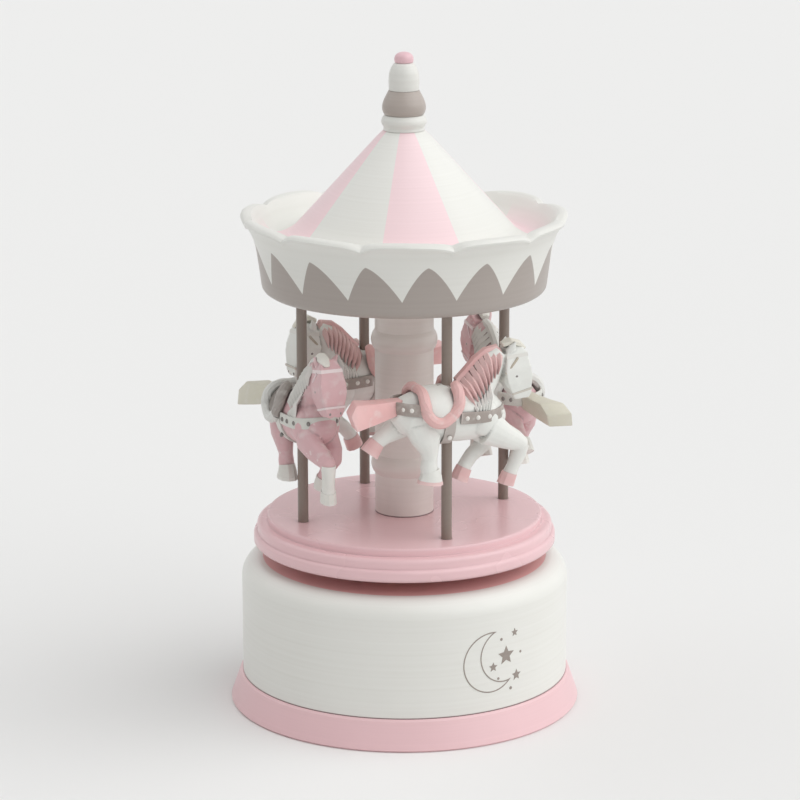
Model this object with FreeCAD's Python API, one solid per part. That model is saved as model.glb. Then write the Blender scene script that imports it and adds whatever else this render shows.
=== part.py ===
import FreeCAD, Part
import math
import os

# A turned wooden carousel music box: a drum that houses a spring movement, and on it a turning
# platform with a column, four horses on poles, a canopy and a finial.
# Millimetres, +Z up, origin at the middle of the underside, front towards -Y.

# Clearances
running_fit = 0.05
glue_fit = 0.02
axial_play = 0.1
side_gap = 0.4
wide_gap = 1.1
pin_gap = 0.25
edge_break = 0.6

# Plinth ring
ring_height = 9.0
ring_ledge = 0.9
ring_flare = 2.7
key_recess_radius = 22.0

# Drum
drum_wall = 5.4
drum_ceiling = 5.0
drum_edge = 6.0
movement_room = 1.66
shaft_room = 9.73

# Bearing between drum and platform
bush_wall = 2.0
bush_flange_width = 3.0
bush_flange_thickness = 1.0
washer_width = 3.7
washer_thickness = 0.6
hub_flange_radius = 11.0
hub_flange_thickness = 2.8
hub_boss_radius = 4.5
hub_boss_height = 3.4
hub_boss_roof = 0.8

# Platform
platform_lower_band = 3.7
platform_middle_band = 3.0
platform_round = 1.2
platform_top_band = 2.3
platform_step = 3.1
platform_edge = 0.5
platform_lip = 1.0
platform_overhang = 11.8

# Poles and column
pole_circle = 32.4
pole_diameter = 3.1
pole_socket = 5.0
pole_count = 4
first_pole_angle = -67.85
column_height = 67.8
column_radius = 8.75
bead_swell = 1.15
bead_height = 6.0
bead_inset = 15.0
tenon_radius = 4.0
tenon_length = 3.5

# Canopy
canopy_margin = 9.7
canopy_edge = 2.4
canopy_wall_height = 12.2
canopy_wall_lean = 1.4
rim_flare = 4.4
rim_height = 8.4
rim_thickness = 2.4
trough_depth = 7.2
trough_inset = 9.2
trough_width = 6.0
trough_rise = 2.6
cone_slope = 1.098
cone_top_radius = 8.2
cone_top_chamfer = 0.8
flare_out_share = 0.3
flare_up_share = 0.55
rim_round_share = 0.7
rim_crown_share = 0.6
trough_bow_share = 0.28
cone_foot_share = 0.27

# Finial beads
finial_dowel_radius = 1.5
finial_socket = 8.0
foot_disc_radius = 5.6
foot_disc_height = 1.1
foot_radius = 6.75
foot_height = 5.1
taupe_foot = 5.5
taupe_radius = 6.4
taupe_head = 4.4
taupe_height = 6.1
bulb_foot = 4.15
bulb_radius = 4.5
bulb_head = 2.9
bulb_height = 8.8
tip_radius = 2.8
tip_neck = 0.8
tip_height = 4.6
bead_belly_share = 0.3
bead_bulge_share = 0.7

# Horses
horse_levels = (38.0, 33.0, 34.6, 33.0)
horse_turns = (90.0, 94.0, 98.0, 94.0)
horse_tilts = (0.0, -5.0, 0.0, -5.0)
horse_length = 56.6
horse_height = 44.0
horse_width = 18.0
hoof_height = 4.0

# Movement: plate and barrel
plate_thickness = 2.0
plate_rim = 7.5
plate_front = 22.0
plate_back = 25.4
barrel_lift = 1.6
barrel_floor = 1.4
barrel_wall = 1.0
flange_step = 0.4
crown_face = 2.2
spring_height = 8.0
spring_thickness = 0.25
spring_turns = 7
spring_head_room = 1.4
cap_thickness = 1.2
cap_boss_wall = 2.0
cap_boss_height = 3.8
shaft_radius = 2.0
arbor_radius = 1.8
arbor_core_radius = 2.6
clutch_radius = 4.0

# Movement: gear train
crown_teeth = 40
pinion_teeth = 16
crown_module = 0.6
cylinder_gear_teeth = 36
governor_wheel_teeth = 30
small_pinion_teeth = 10
train_module = 0.4
gear_width = 1.2
pinion_width = 1.6
tooth_share = 0.38
tooth_spread = 0.14
addendum_share = 0.85
dedendum_share = 1.1
train_arbor_radius = 1.0
light_arbor_radius = 0.6

# Movement: cylinder, comb and governor
cylinder_radius = 6.5
cylinder_wall = 0.8
cylinder_end_wall = 1.5
gear_spigot = 2.0
pin_reach = 0.7
pin_root = 0.4
pin_radius = 0.2
pins_per_track = 5
track_turn = 47.0
pin_stray = 11.0
comb_teeth = 18
comb_pitch = 0.92
comb_tooth_width = 0.6
comb_thickness = 0.8
comb_tooth_longest = 11.0
comb_tooth_shortest = 7.0
comb_root = 6.0
post_thickness = 1.2
post_half_width = 2.5
cheek_thickness = 1.0
cheek_margin = 2.5
fan_rise = 40.0
fan_reach = 4.8
fan_length = 5.2
fan_blade = 0.3
fan_hub_wall = 0.8

# Screws
screw_radius = 1.0
screw_head_radius = 2.0
screw_head_height = 1.2
screw_slot = 0.5
wood_screw_depth = 6.0
ring_screw_depth = 12.0
hub_screw_depth = 4.5
comb_screw_depth = 5.0
sunk_head = 1.4
screw_inset = 4.0

# Key
finger_room = 9.0
key_blade = 2.6
key_hub_wall = 1.6
key_floor_gap = 1.0
key_roof_gap = 0.5
key_socket_floor = 3.0
key_hole_share = 0.45

V = FreeCAD.Vector
CENTRE = V(0, 0, 0)
UP = V(0, 0, 1)
ALONG_X = V(1, 0, 0)
ALONG_Y = V(0, 1, 0)

# Levels of the spring barrel and the cylinder above it
ring_top = ring_height
plate_top = ring_top + plate_thickness
flange_bottom = plate_top + barrel_lift
spring_floor = flange_bottom + barrel_floor
flange_top = spring_floor + flange_step
crown_pitch_radius = crown_module * crown_teeth / 2
pinion_pitch_radius = crown_module * pinion_teeth / 2
crown_pitch_level = flange_top + crown_module
cylinder_level = crown_pitch_level + pinion_pitch_radius
crown_inner = crown_pitch_radius - crown_face / 2
crown_outer = crown_pitch_radius + crown_face / 2
barrel_radius = crown_inner - edge_break
spring_roof = spring_floor + spring_height + spring_head_room
cap_top = spring_roof + cap_thickness

# Places along the cylinder's axis
post_inner = crown_outer + edge_break
cylinder_start = post_inner + post_thickness + side_gap
cylinder_end = cylinder_start + comb_pitch * comb_teeth + side_gap
gear_end = cylinder_end + gear_width
post_outer = gear_end + wide_gap
arbor_start = crown_inner - side_gap
arbor_end = post_outer + post_thickness + edge_break

# Comb, beyond the reach of the pins
comb_tip = cylinder_radius + pin_reach + pin_gap
comb_root_start = comb_tip + comb_tooth_longest
comb_back = comb_root_start + comb_root
comb_bottom = cylinder_level - comb_thickness / 2
comb_top = comb_bottom + comb_thickness
comb_left = cylinder_start - edge_break
comb_right = cylinder_end + edge_break

# Governor wheel beside the cylinder, and the fan above the wheel
cylinder_gear_radius = train_module * cylinder_gear_teeth / 2
small_pinion_radius = train_module * small_pinion_teeth / 2
governor_wheel_radius = train_module * governor_wheel_teeth / 2
governor_y = -(cylinder_gear_radius + small_pinion_radius + running_fit)
fan_distance = governor_wheel_radius + small_pinion_radius + running_fit
fan_y = governor_y - fan_distance * math.cos(math.radians(fan_rise))
fan_level = cylinder_level + fan_distance * math.sin(math.radians(fan_rise))
cheek_inner = cylinder_end - cheek_thickness - side_gap
wheel_start = gear_end + wide_gap
cheek_outer = wheel_start + gear_width + wide_gap
cheek_end = cheek_outer + cheek_thickness
cheek_back = -(cylinder_radius + pin_reach + side_gap)
cheek_front = fan_y - cheek_margin
fan_start = cheek_inner - 2 * side_gap - fan_length

# Drum round the movement, and everything that stands on it
movement_reach = max(math.hypot(cheek_end, cheek_front), math.hypot(comb_right, comb_back))
drum_inner = movement_reach + movement_room
drum_radius = drum_inner + drum_wall
ring_top_radius = drum_radius + ring_ledge
ring_bottom_radius = ring_top_radius + ring_flare
drum_roof = max(fan_level + fan_reach, cap_top + cap_boss_height) + shaft_room
drum_top = drum_roof + drum_ceiling
bush_radius = shaft_radius + bush_wall
bush_top = drum_top + bush_flange_thickness
washer_top = bush_top + washer_thickness
hub_bottom = washer_top + axial_play
platform_bottom = hub_bottom + hub_flange_thickness
platform_lower = platform_bottom + platform_lower_band
platform_upper = platform_lower + platform_middle_band
platform_top = platform_upper + platform_top_band
platform_radius = pole_circle + platform_overhang
shaft_top = platform_bottom + hub_boss_height - hub_boss_roof
column_top = platform_top + column_height
pole_radius = pole_diameter / 2

# Canopy and finial
canopy_radius = pole_circle + canopy_margin
wall_radius = canopy_radius + canopy_wall_lean
wall_top = column_top + canopy_wall_height
rim_level = wall_top + rim_height
rim_top = rim_level + rim_thickness
rim_radius = wall_radius + rim_flare
trough_level = rim_top - trough_depth
trough_radius = rim_radius - trough_inset
cone_base_radius = trough_radius - trough_width
cone_base_level = trough_level + trough_rise
cone_top_level = cone_base_level + (cone_base_radius - cone_top_radius) * cone_slope
finial_bottom = cone_top_level + cone_top_chamfer
finial_bore = finial_dowel_radius + glue_fit
taupe_bottom = finial_bottom + foot_height
bulb_bottom = taupe_bottom + taupe_height
tip_bottom = bulb_bottom + bulb_height
finial_top = tip_bottom + tip_height
finial_dowel_top = tip_bottom + tip_height / 2
half_root = math.sqrt(0.5)


def spot_at(radius, angle):
    turn = math.radians(angle)
    return V(radius * math.cos(turn), radius * math.sin(turn), 0)


def round_spots(count, radius, first_angle):
    return [spot_at(radius, first_angle + 360.0 * k / count) for k in range(count)]


# Places that more than one piece is drilled at
pole_spots = round_spots(pole_count, pole_circle, first_pole_angle)
ring_screw_spots = round_spots(4, drum_inner + drum_wall / 2, 45)
hub_screw_radius = (hub_flange_radius + hub_boss_radius) / 2
hub_screw_spots = round_spots(3, hub_screw_radius, 90)
movement_screw_spots = [spot_at(key_recess_radius + screw_inset, a) for a in (105, 180, 255)]
movement_screw_spots.append(spot_at(drum_inner - screw_inset, 20))
comb_screw_y = comb_back - comb_root / 2
comb_screw_spots = [V(comb_left + screw_inset, comb_screw_y, 0), V(comb_right - screw_inset, comb_screw_y, 0)]
governor_screw_spot = V((cheek_inner + cheek_end) / 2, cheek_front + cheek_margin, 0)


# Basic solids

def arc(start, middle, end):
    return Part.Arc(start, middle, end).toShape()


def lathe(*steps):
    """Solid turned about Z; a step is a point (r, z), or a pair (through, end) for an arc."""
    edges = []
    first = V(steps[0][0], 0, steps[0][1])
    here = first
    for step in steps[1:]:
        if isinstance(step[0], tuple):
            through, end = step
            there = V(end[0], 0, end[1])
            edges.append(arc(here, V(through[0], 0, through[1]), there))
        else:
            there = V(step[0], 0, step[1])
            edges.append(Part.makeLine(here, there))
        here = there
    edges.append(Part.makeLine(here, first))
    return Part.Face(Part.Wire(edges)).revolve(CENTRE, UP, 360)


def rod(radius, bottom, top, spot=CENTRE):
    return Part.makeCylinder(radius, top - bottom, V(spot.x, spot.y, bottom))


def cross_rod(radius, start, end, y=0.0, z=0.0):
    return Part.makeCylinder(radius, end - start, V(start, y, z), ALONG_X)


def block(x, y, z):
    return Part.makeBox(x[1] - x[0], y[1] - y[0], z[1] - z[0], V(x[0], y[0], z[0]))


def prism(corners, way):
    return Part.Face(Part.makePolygon(corners + corners[:1])).extrude(way)


def fuse(shapes):
    return shapes[0].multiFuse(shapes[1:]).removeSplitter()


# Screws

def slot_cut(spot, bottom, top):
    return block((spot.x - screw_head_radius, spot.x + screw_head_radius),
                 (spot.y - screw_slot / 2, spot.y + screw_slot / 2), (bottom, top))


def flat_screw(spot, seat, depth):
    """Screw with a flat slotted head, driven downwards."""
    head_top = seat + screw_head_height
    head = rod(screw_head_radius, seat, head_top, spot)
    shank = rod(screw_radius, seat - depth, seat, spot)
    return fuse([head, shank]).cut(slot_cut(spot, head_top - screw_slot, head_top))


def sunk_cone(spot, bottom):
    return Part.makeCone(screw_head_radius, screw_radius, sunk_head, V(spot.x, spot.y, bottom))


def sunk_screw(spot, bottom, top):
    """Screw with a countersunk head, driven upwards and set below the face."""
    head = sunk_cone(spot, bottom + edge_break)
    shank = rod(screw_radius, bottom + edge_break + sunk_head, top, spot)
    return fuse([head, shank]).cut(slot_cut(spot, bottom, bottom + edge_break + screw_slot))


def sunk_holes(spot, bottom, top):
    return [rod(screw_head_radius, bottom, bottom + edge_break, spot), sunk_cone(spot, bottom + edge_break),
            rod(screw_radius, bottom, top, spot)]


# Plinth and drum

def base_ring():
    body = lathe((key_recess_radius, 0), (ring_bottom_radius - edge_break, 0),
                 (ring_bottom_radius, edge_break),
                 (ring_top_radius, ring_top - edge_break), (ring_top_radius - edge_break, ring_top),
                 (key_recess_radius, ring_top))
    holes = []
    for spot in ring_screw_spots:
        holes += sunk_holes(spot, 0, ring_top)
    for spot in movement_screw_spots:
        holes.append(rod(screw_radius, ring_top - wood_screw_depth, ring_top, spot))
    return body.cut(holes)


def drum_shell():
    bend_r = drum_radius - drum_edge
    bend_z = drum_top - drum_edge
    bend = drum_edge * half_root
    body = lathe((drum_inner, ring_top), (drum_radius, ring_top), (drum_radius, bend_z),
                 ((bend_r + bend, bend_z + bend), (bend_r, drum_top)),
                 (bush_radius, drum_top), (bush_radius, drum_roof), (drum_inner, drum_roof))
    return body.cut([rod(screw_radius, ring_top, ring_top + ring_screw_depth, s) for s in ring_screw_spots])


# Bearing between drum and platform

def shaft_bush():
    bore = shaft_radius + running_fit
    flange = bush_radius + bush_flange_width
    return lathe((bore, drum_roof), (bush_radius, drum_roof), (bush_radius, drum_top), (flange, drum_top),
                 (flange, bush_top), (bore, bush_top))


def thrust_washer():
    bore = shaft_radius + side_gap
    outer = bore + washer_width
    return lathe((bore, bush_top), (outer, bush_top), (outer, washer_top), (bore, washer_top))


def drive_shaft():
    return rod(shaft_radius, spring_roof, shaft_top)


def platform_hub():
    boss_top = platform_bottom + hub_boss_height
    body = lathe((0, hub_bottom), (hub_flange_radius, hub_bottom), (hub_flange_radius, platform_bottom),
                 (hub_boss_radius, platform_bottom), (hub_boss_radius, boss_top), (0, boss_top))
    holes = [rod(shaft_radius, hub_bottom, shaft_top)]
    for spot in hub_screw_spots:
        holes += sunk_holes(spot, hub_bottom, platform_bottom)
    return body.cut(holes)


# Platform, column and poles

def rounded_edge(radius, level, size):
    """Upper outer edge of a turned disc, rounded to a quarter circle."""
    bend = size * half_root
    foot = level - size
    return [(radius, foot), ((radius - size + bend, foot + bend), (radius - size, level))]


def platform():
    lip_radius = platform_radius + platform_lip
    top_radius = platform_radius - platform_step
    body = lathe((0, platform_bottom), (lip_radius - edge_break, platform_bottom),
                 (lip_radius, platform_bottom + edge_break),
                 *rounded_edge(lip_radius, platform_lower, platform_lip),
                 *rounded_edge(platform_radius, platform_upper, platform_round), (top_radius, platform_upper),
                 *rounded_edge(top_radius, platform_top, platform_edge), (0, platform_top))
    holes = [rod(hub_boss_radius, platform_bottom, platform_bottom + hub_boss_height),
             rod(tenon_radius + glue_fit, platform_top - tenon_length, platform_top)]
    holes += [rod(screw_radius, platform_bottom, platform_bottom + hub_screw_depth, s)
              for s in hub_screw_spots]
    holes += [rod(pole_radius + glue_fit, platform_top - pole_socket, platform_top, s) for s in pole_spots]
    return body.cut(holes)


def column_bead(level):
    half = bead_height / 2
    crown = (column_radius + bead_swell, level)
    return [(column_radius, level - half), (crown, (column_radius, level + half))]


def column():
    low = platform_top - tenon_length
    high = column_top + tenon_length
    return lathe((0, low), (tenon_radius, low), (tenon_radius, platform_top), (column_radius, platform_top),
                 *column_bead(platform_top + bead_inset), *column_bead(column_top - bead_inset),
                 (column_radius, column_top), (tenon_radius, column_top), (tenon_radius, high), (0, high))


def pole(spot):
    return rod(pole_radius, platform_top - pole_socket, column_top + pole_socket, spot)


# Canopy and finial

def canopy():
    edge_r = canopy_radius - canopy_edge
    edge_z = column_top + canopy_edge
    bend = canopy_edge * half_root
    flare_middle = (wall_radius + rim_flare * flare_out_share, wall_top + rim_height * flare_up_share)
    lip_radius = rim_radius - rim_thickness * rim_crown_share
    trough_middle = ((lip_radius + trough_radius) / 2, trough_level + trough_depth * trough_bow_share)
    foot_middle = ((cone_base_radius + trough_radius) / 2, trough_level + trough_rise * cone_foot_share)
    body = lathe((0, column_top), (edge_r, column_top),
                 ((edge_r + bend, edge_z - bend), (canopy_radius, edge_z)),
                 (wall_radius, wall_top), (flare_middle, (rim_radius, rim_level)),
                 ((rim_radius, rim_level + rim_thickness * rim_round_share), (lip_radius, rim_top)),
                 (trough_middle, (trough_radius, trough_level)),
                 (foot_middle, (cone_base_radius, cone_base_level)),
                 (cone_top_radius, cone_top_level), (cone_top_radius - cone_top_chamfer, finial_bottom),
                 (0, finial_bottom))
    holes = [rod(tenon_radius + glue_fit, column_top, column_top + tenon_length),
             rod(finial_bore, finial_bottom - finial_socket, finial_bottom)]
    holes += [rod(pole_radius + glue_fit, column_top, column_top + pole_socket, s) for s in pole_spots]
    return body.cut(holes)


def finial_foot():
    disc_top = finial_bottom + foot_disc_height
    belly_level = (disc_top + taupe_bottom) / 2
    return lathe((finial_bore, finial_bottom), (foot_disc_radius, finial_bottom),
                 (foot_disc_radius, disc_top), ((foot_radius, belly_level), (foot_disc_radius, taupe_bottom)),
                 (finial_bore, taupe_bottom))


def finial_bead(bottom, height, foot, belly, head):
    """Bead that swells from its foot to a low belly, then draws in to its head."""
    top = bottom + height
    belly_level = bottom + height * bead_belly_share
    below = (foot + (belly - foot) * bead_bulge_share, (bottom + belly_level) / 2)
    above = (head + (belly - head) * bead_bulge_share, (belly_level + top) / 2)
    return lathe((finial_bore, bottom), (foot, bottom), (below, (belly, belly_level)), (above, (head, top)),
                 (finial_bore, top))


def finial_tip():
    ball = finial_top - tip_radius
    neck_top = tip_bottom + tip_neck
    neck_radius = math.sqrt(tip_radius ** 2 - (ball - neck_top) ** 2)
    bend = tip_radius * half_root
    return lathe((0, finial_dowel_top), (finial_bore, finial_dowel_top), (finial_bore, tip_bottom),
                 (neck_radius, tip_bottom), (neck_radius, neck_top), ((bend, ball + bend), (0, finial_top)))


def finial_dowel():
    return rod(finial_dowel_radius, finial_bottom - finial_socket, finial_dowel_top)


# Horses: one figure in its own frame, facing +X with the pole along Z, drawn at these outer sizes
drawn_length = 56.6
drawn_height = 44.0
drawn_width = 18.0
oval_points = 8
limb_neck_share = 0.97
hoof_top_share = 0.8
ear_root_radius = 1.3
ear_tip_radius = 0.4
ear_length = 3.0
horse_share = min(horse_length / drawn_length, horse_width / drawn_width, horse_height / drawn_height)


def horse_point(x, y, z):
    return V(x * horse_length / drawn_length, y * horse_width / drawn_width, z * horse_height / drawn_height)


def oval(centre, way, half_tall, half_wide):
    """Closed smooth oval round a centre, square to a direction."""
    normal = V(*way).normalize()
    side = V(-normal.y, normal.x, 0) if normal.y else ALONG_Y
    side = V(side).normalize()
    tall = normal.cross(side)
    middle = horse_point(*centre)
    tall *= half_tall * horse_share
    side *= half_wide * horse_share
    points = []
    for k in range(oval_points):
        turn = 2 * math.pi * k / oval_points
        points.append(middle + tall * math.cos(turn) + side * math.sin(turn))
    curve = Part.BSplineCurve()
    curve.interpolate(points, PeriodicFlag=True)
    return Part.Wire(curve.toShape())


def swelling(*sections):
    return Part.makeLoft([oval(*s) for s in sections], True, False)


def limb(*joints):
    """A leg of tapered rods with a ball at each joint; a joint is (x, y, z, radius)."""
    pieces = [Part.makeSphere(radius * horse_share, horse_point(x, y, z)) for x, y, z, radius in joints]
    neck_share = limb_neck_share * horse_share
    for upper, lower in zip(joints, joints[1:]):
        start = horse_point(*upper[:3])
        way = horse_point(*lower[:3]) - start
        pieces.append(Part.makeCone(upper[3] * neck_share, lower[3] * neck_share, way.Length, start, way))
    return pieces


def hoof(x, y, z, radius, way):
    sole = radius * horse_share
    return Part.makeCone(sole * hoof_top_share, sole, hoof_height, horse_point(x, y, z), V(*way))


def horse_trunk():
    ahead = (1, 0, 0)
    back = (-1, -0.26, 0)
    trunk = swelling(((-16.2, 0, 2.6), ahead, 1.8, 1.8), ((-13.0, 0, 1.2), ahead, 6.0, 5.6),
                     ((-7.0, 0, 0.2), ahead, 7.8, 6.9), ((2.0, 0, -0.4), ahead, 8.2, 6.9),
                     ((9.0, 0, -0.9), ahead, 8.0, 6.6), ((13.4, 0, -2.2), ahead, 6.2, 5.4),
                     ((17.0, 0, -4.0), ahead, 1.8, 1.8))
    saddle = swelling(((-10.4, 0, 1.8), ahead, 6.6, 6.6), ((-6.0, 0, 0.8), ahead, 7.9, 8.6),
                      ((-1.0, 0, 0.8), ahead, 8.1, 8.8), ((1.9, 0, 1.4), ahead, 8.2, 7.6))
    low = horse_point(-14, -12, -14)
    high = horse_point(10, 12, -2.6)
    below = block((low.x, high.x), (low.y, high.y), (low.z, high.z))
    tail = swelling(((-14.2, 0, 3.4), (-1, -0.1, 0), 2.2, 1.8), ((-18.5, -0.7, 3.2), back, 2.6, 2.0),
                    ((-24.0, -2.0, 3.0), back, 3.4, 2.2), ((-30.5, -3.7, 3.3), back, 3.9, 2.0))
    return [trunk, saddle.cut(below), tail]


def horse_ear(side):
    root = horse_point(18.9, 2.1 * side, 17.2)
    way = V(0.3, 0.45 * side, 1)
    root_radius = ear_root_radius * horse_share
    return Part.makeCone(root_radius, ear_tip_radius * horse_share, ear_length * horse_share, root, way)


def horse_head():
    rising = (0.5, 0, 1)
    crest = (0.8, 0, 1)
    down = (0.3, 0, -1)
    neck = swelling(((7.6, 0, 2.2), rising, 7.4, 5.4), ((9.4, 0, 7.0), rising, 5.8, 4.9),
                    ((12.2, 0, 11.2), rising, 5.2, 4.3), ((16.6, 0, 16.8), rising, 2.7, 2.8))
    head = swelling(((19.5, 0, 18.8), down, 2.3, 2.5), ((20.7, 0, 13.4), down, 4.1, 3.7),
                    ((21.6, 0, 8.0), down, 4.0, 3.5), ((22.7, 0, 3.6), down, 3.0, 2.6),
                    ((23.1, 0, 1.4), down, 2.0, 1.9))
    mane = swelling(((2.8, 0, 8.0), crest, 2.0, 2.3), ((7.0, 0, 12.2), crest, 2.8, 3.1),
                    ((11.8, 0, 16.2), crest, 2.4, 2.9), ((16.0, 0, 17.8), (1, 0, 0.6), 1.6, 2.0))
    ears = [horse_ear(side) for side in (-1, 1)]
    return [neck, head, mane] + ears


def horse_legs():
    near_fore = limb((11.5, -3.6, -4.6, 4.6), (22.4, -1.9, -11.4, 2.8), (19.8, -0.9, -19.6, 2.1))
    far_fore = limb((9.8, 3.2, -4.6, 4.3), (13.0, 4.0, -11.6, 2.8), (6.9, 3.4, -17.8, 2.2))
    near_hind = limb((-9.0, -3.0, -2.0, 5.2), (-7.0, -3.3, -9.4, 3.3), (-6.6, -3.0, -16.2, 2.5))
    far_hind = limb((-10.5, 3.3, -1.8, 4.8), (-16.4, 3.3, -5.2, 3.0), (-20.6, 2.8, -7.8, 2.3))
    hooves = [hoof(19.7, -0.8, -19.4, 2.6, (-0.3, 0.1, -1)), hoof(7.0, 3.3, -17.8, 2.7, (-0.4, -0.05, -1)),
              hoof(-6.4, -3.0, -16.0, 3.6, (-0.05, 0, -1)), hoof(-20.4, 2.8, -7.4, 2.9, (-0.65, 0, -0.75))]
    return near_fore + far_fore + near_hind + far_hind + hooves


def horse_figure():
    pieces = horse_trunk() + horse_head() + horse_legs()
    body = pieces[0]
    for piece in pieces[1:]:
        body = body.fuse(piece)
    return body


def placed_horse(figure, index):
    spot = pole_spots[index]
    level = platform_top + horse_levels[index]
    heading = first_pole_angle + 360.0 * index / pole_count + horse_turns[index]
    stance = FreeCAD.Rotation(heading, horse_tilts[index], 0)
    horse = figure.copy()
    horse.Placement = FreeCAD.Placement(V(spot.x, spot.y, level), stance)
    return horse.cut(rod(pole_radius + glue_fit, level - horse_height, level + horse_height, spot))


# Gears

def spur_gear(teeth, module, width, start, y, z, phase, bore):
    """Gear with its axis along X; phase is the direction of one tooth, from +Y towards +Z."""
    pitch_radius = module * teeth / 2
    tip = pitch_radius + addendum_share * module
    root = pitch_radius - dedendum_share * module
    pitch = 2 * math.pi / teeth
    foot = pitch * (tooth_share + tooth_spread) / 2
    crest = pitch * (tooth_share - tooth_spread) / 2
    corners = []
    for k in range(teeth):
        middle = math.radians(phase) + k * pitch
        flanks = ((root, middle - foot), (tip, middle - crest), (tip, middle + crest), (root, middle + foot))
        for radius, angle in flanks:
            corners.append(V(start, y + radius * math.cos(angle), z + radius * math.sin(angle)))
    return prism(corners, V(width, 0, 0)).cut(cross_rod(bore, start, start + width, y, z))


def crown_tooth(angle):
    pitch = crown_module * math.pi
    foot = pitch * (tooth_share + tooth_spread) / 2
    crest = pitch * (tooth_share - tooth_spread) / 2
    sunk = flange_top - flange_step / 2
    tip = crown_pitch_level + addendum_share * crown_module
    corners = [V(crown_inner, -foot, sunk), V(crown_inner, foot, sunk), V(crown_inner, crest, tip),
               V(crown_inner, -crest, tip)]
    tooth = prism(corners, V(crown_face, 0, 0))
    tooth.rotate(CENTRE, UP, angle)
    return tooth


# Spring barrel and key

def spring_barrel():
    bore = arbor_radius + running_fit
    inner = barrel_radius - barrel_wall
    body = lathe((bore, flange_bottom), (crown_outer, flange_bottom), (crown_outer, flange_top),
                 (barrel_radius, flange_top), (barrel_radius, spring_roof), (inner, spring_roof),
                 (inner, spring_floor), (bore, spring_floor))
    return fuse([body] + [crown_tooth(360.0 * k / crown_teeth) for k in range(crown_teeth)])


def barrel_cap():
    boss = shaft_radius + cap_boss_wall
    boss_top = cap_top + cap_boss_height
    return lathe((shaft_radius, spring_roof), (barrel_radius, spring_roof), (barrel_radius, cap_top),
                 (boss, cap_top), (boss, boss_top), (shaft_radius, boss_top))


def spiral_edge(start_radius, step, half_turns, level):
    """Half circles about two centres, each one step larger than the last."""
    edges = []
    for half in range(half_turns):
        radius = start_radius + half * step
        centre = V(step * (half % 2), 0, level)
        way = 1 - 2 * (half % 2)
        edges.append(arc(centre + V(way * radius, 0, 0), centre + V(0, way * radius, 0),
                         centre - V(way * radius, 0, 0)))
    return edges


def mainspring():
    inner = arbor_core_radius + edge_break
    outer = barrel_radius - barrel_wall - spring_thickness
    half_turns = 2 * spring_turns - 1
    step = (outer - inner) / (half_turns + 1)
    level = spring_floor + edge_break
    inside = spiral_edge(inner, step, half_turns, level)
    outside = spiral_edge(inner + spring_thickness, step, half_turns, level)
    ends = [Part.makeLine(inside[k].Vertexes[k].Point, outside[k].Vertexes[k].Point) for k in (0, -1)]
    strip = Part.Face(Part.Wire(Part.__sortEdges__(inside + outside + ends)))
    return strip.extrude(V(0, 0, spring_height))


def spring_arbor():
    low = key_floor_gap + key_socket_floor
    core_low = spring_floor + side_gap
    core_high = spring_roof - side_gap
    return lathe((0, low), (arbor_radius, low), (arbor_radius, core_low), (arbor_core_radius, core_low),
                 (arbor_core_radius, core_high), (0, core_high))


def one_way_clutch():
    bore = arbor_radius + running_fit
    top = flange_bottom - side_gap
    return lathe((bore, plate_top), (clutch_radius, plate_top), (clutch_radius, top), (bore, top))


def winding_key():
    top = ring_top - key_roof_gap
    lobe = (top - key_floor_gap) / 2
    level = (top + key_floor_gap) / 2
    reach = key_recess_radius - finger_room - lobe
    blade = (-key_blade / 2, key_blade / 2)
    pieces = [block((-reach, reach), blade, (key_floor_gap, top)),
              rod(arbor_radius + key_hub_wall, key_floor_gap + edge_break, top)]
    holes = [rod(arbor_radius, key_floor_gap + key_socket_floor, top)]
    for side in (-1, 1):
        lobe_spot = V(side * reach, blade[0], level)
        pieces.append(Part.makeCylinder(lobe, key_blade, lobe_spot, ALONG_Y))
        holes.append(Part.makeCylinder(lobe * key_hole_share, key_blade, lobe_spot, ALONG_Y))
    return fuse(pieces).cut(holes)


# Bedplate and comb

def movement_bedplate():
    height = (ring_top, plate_top)
    wide = block((0, drum_inner), (-plate_front, plate_back), height)
    trimmed = wide.common(rod(drum_inner - edge_break, ring_top, plate_top))
    pieces = [trimmed, rod(key_recess_radius + plate_rim, ring_top, plate_top)]
    for start in (post_inner, post_outer):
        pieces.append(block((start, start + post_thickness), (-post_half_width, post_half_width),
                            (ring_top, cylinder_level)))
        pieces.append(cross_rod(post_half_width, start, start + post_thickness, 0, cylinder_level))
    pieces.append(block((comb_left, comb_right), (comb_root_start, comb_back), (ring_top, comb_bottom)))
    holes = [rod(arbor_radius + running_fit, ring_top, plate_top),
             cross_rod(train_arbor_radius + running_fit, post_inner, arbor_end, 0, cylinder_level)]
    holes += [rod(screw_radius, ring_top, plate_top, s) for s in movement_screw_spots + [governor_screw_spot]]
    holes += [rod(screw_radius, comb_bottom - comb_screw_depth, comb_bottom, s) for s in comb_screw_spots]
    return fuse(pieces).cut(holes)


def track_place(track):
    return cylinder_start + side_gap / 2 + (track + 0.5) * comb_pitch


def comb():
    thickness = V(0, 0, comb_thickness)
    short_root = comb_tip + comb_tooth_shortest
    root = prism([V(comb_left, comb_root_start, comb_bottom), V(comb_right, short_root, comb_bottom),
                  V(comb_right, comb_back, comb_bottom), V(comb_left, comb_back, comb_bottom)], thickness)
    half = comb_tooth_width / 2
    teeth = []
    for track in range(comb_teeth):
        x = track_place(track)
        teeth.append(block((x - half, x + half), (comb_tip, comb_root_start), (comb_bottom, comb_top)))
    return fuse([root] + teeth).cut([rod(screw_radius, comb_bottom, comb_top, s) for s in comb_screw_spots])


# Cylinder

def on_cylinder(radius, start, end):
    return cross_rod(radius, start, end, 0, cylinder_level)


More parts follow.
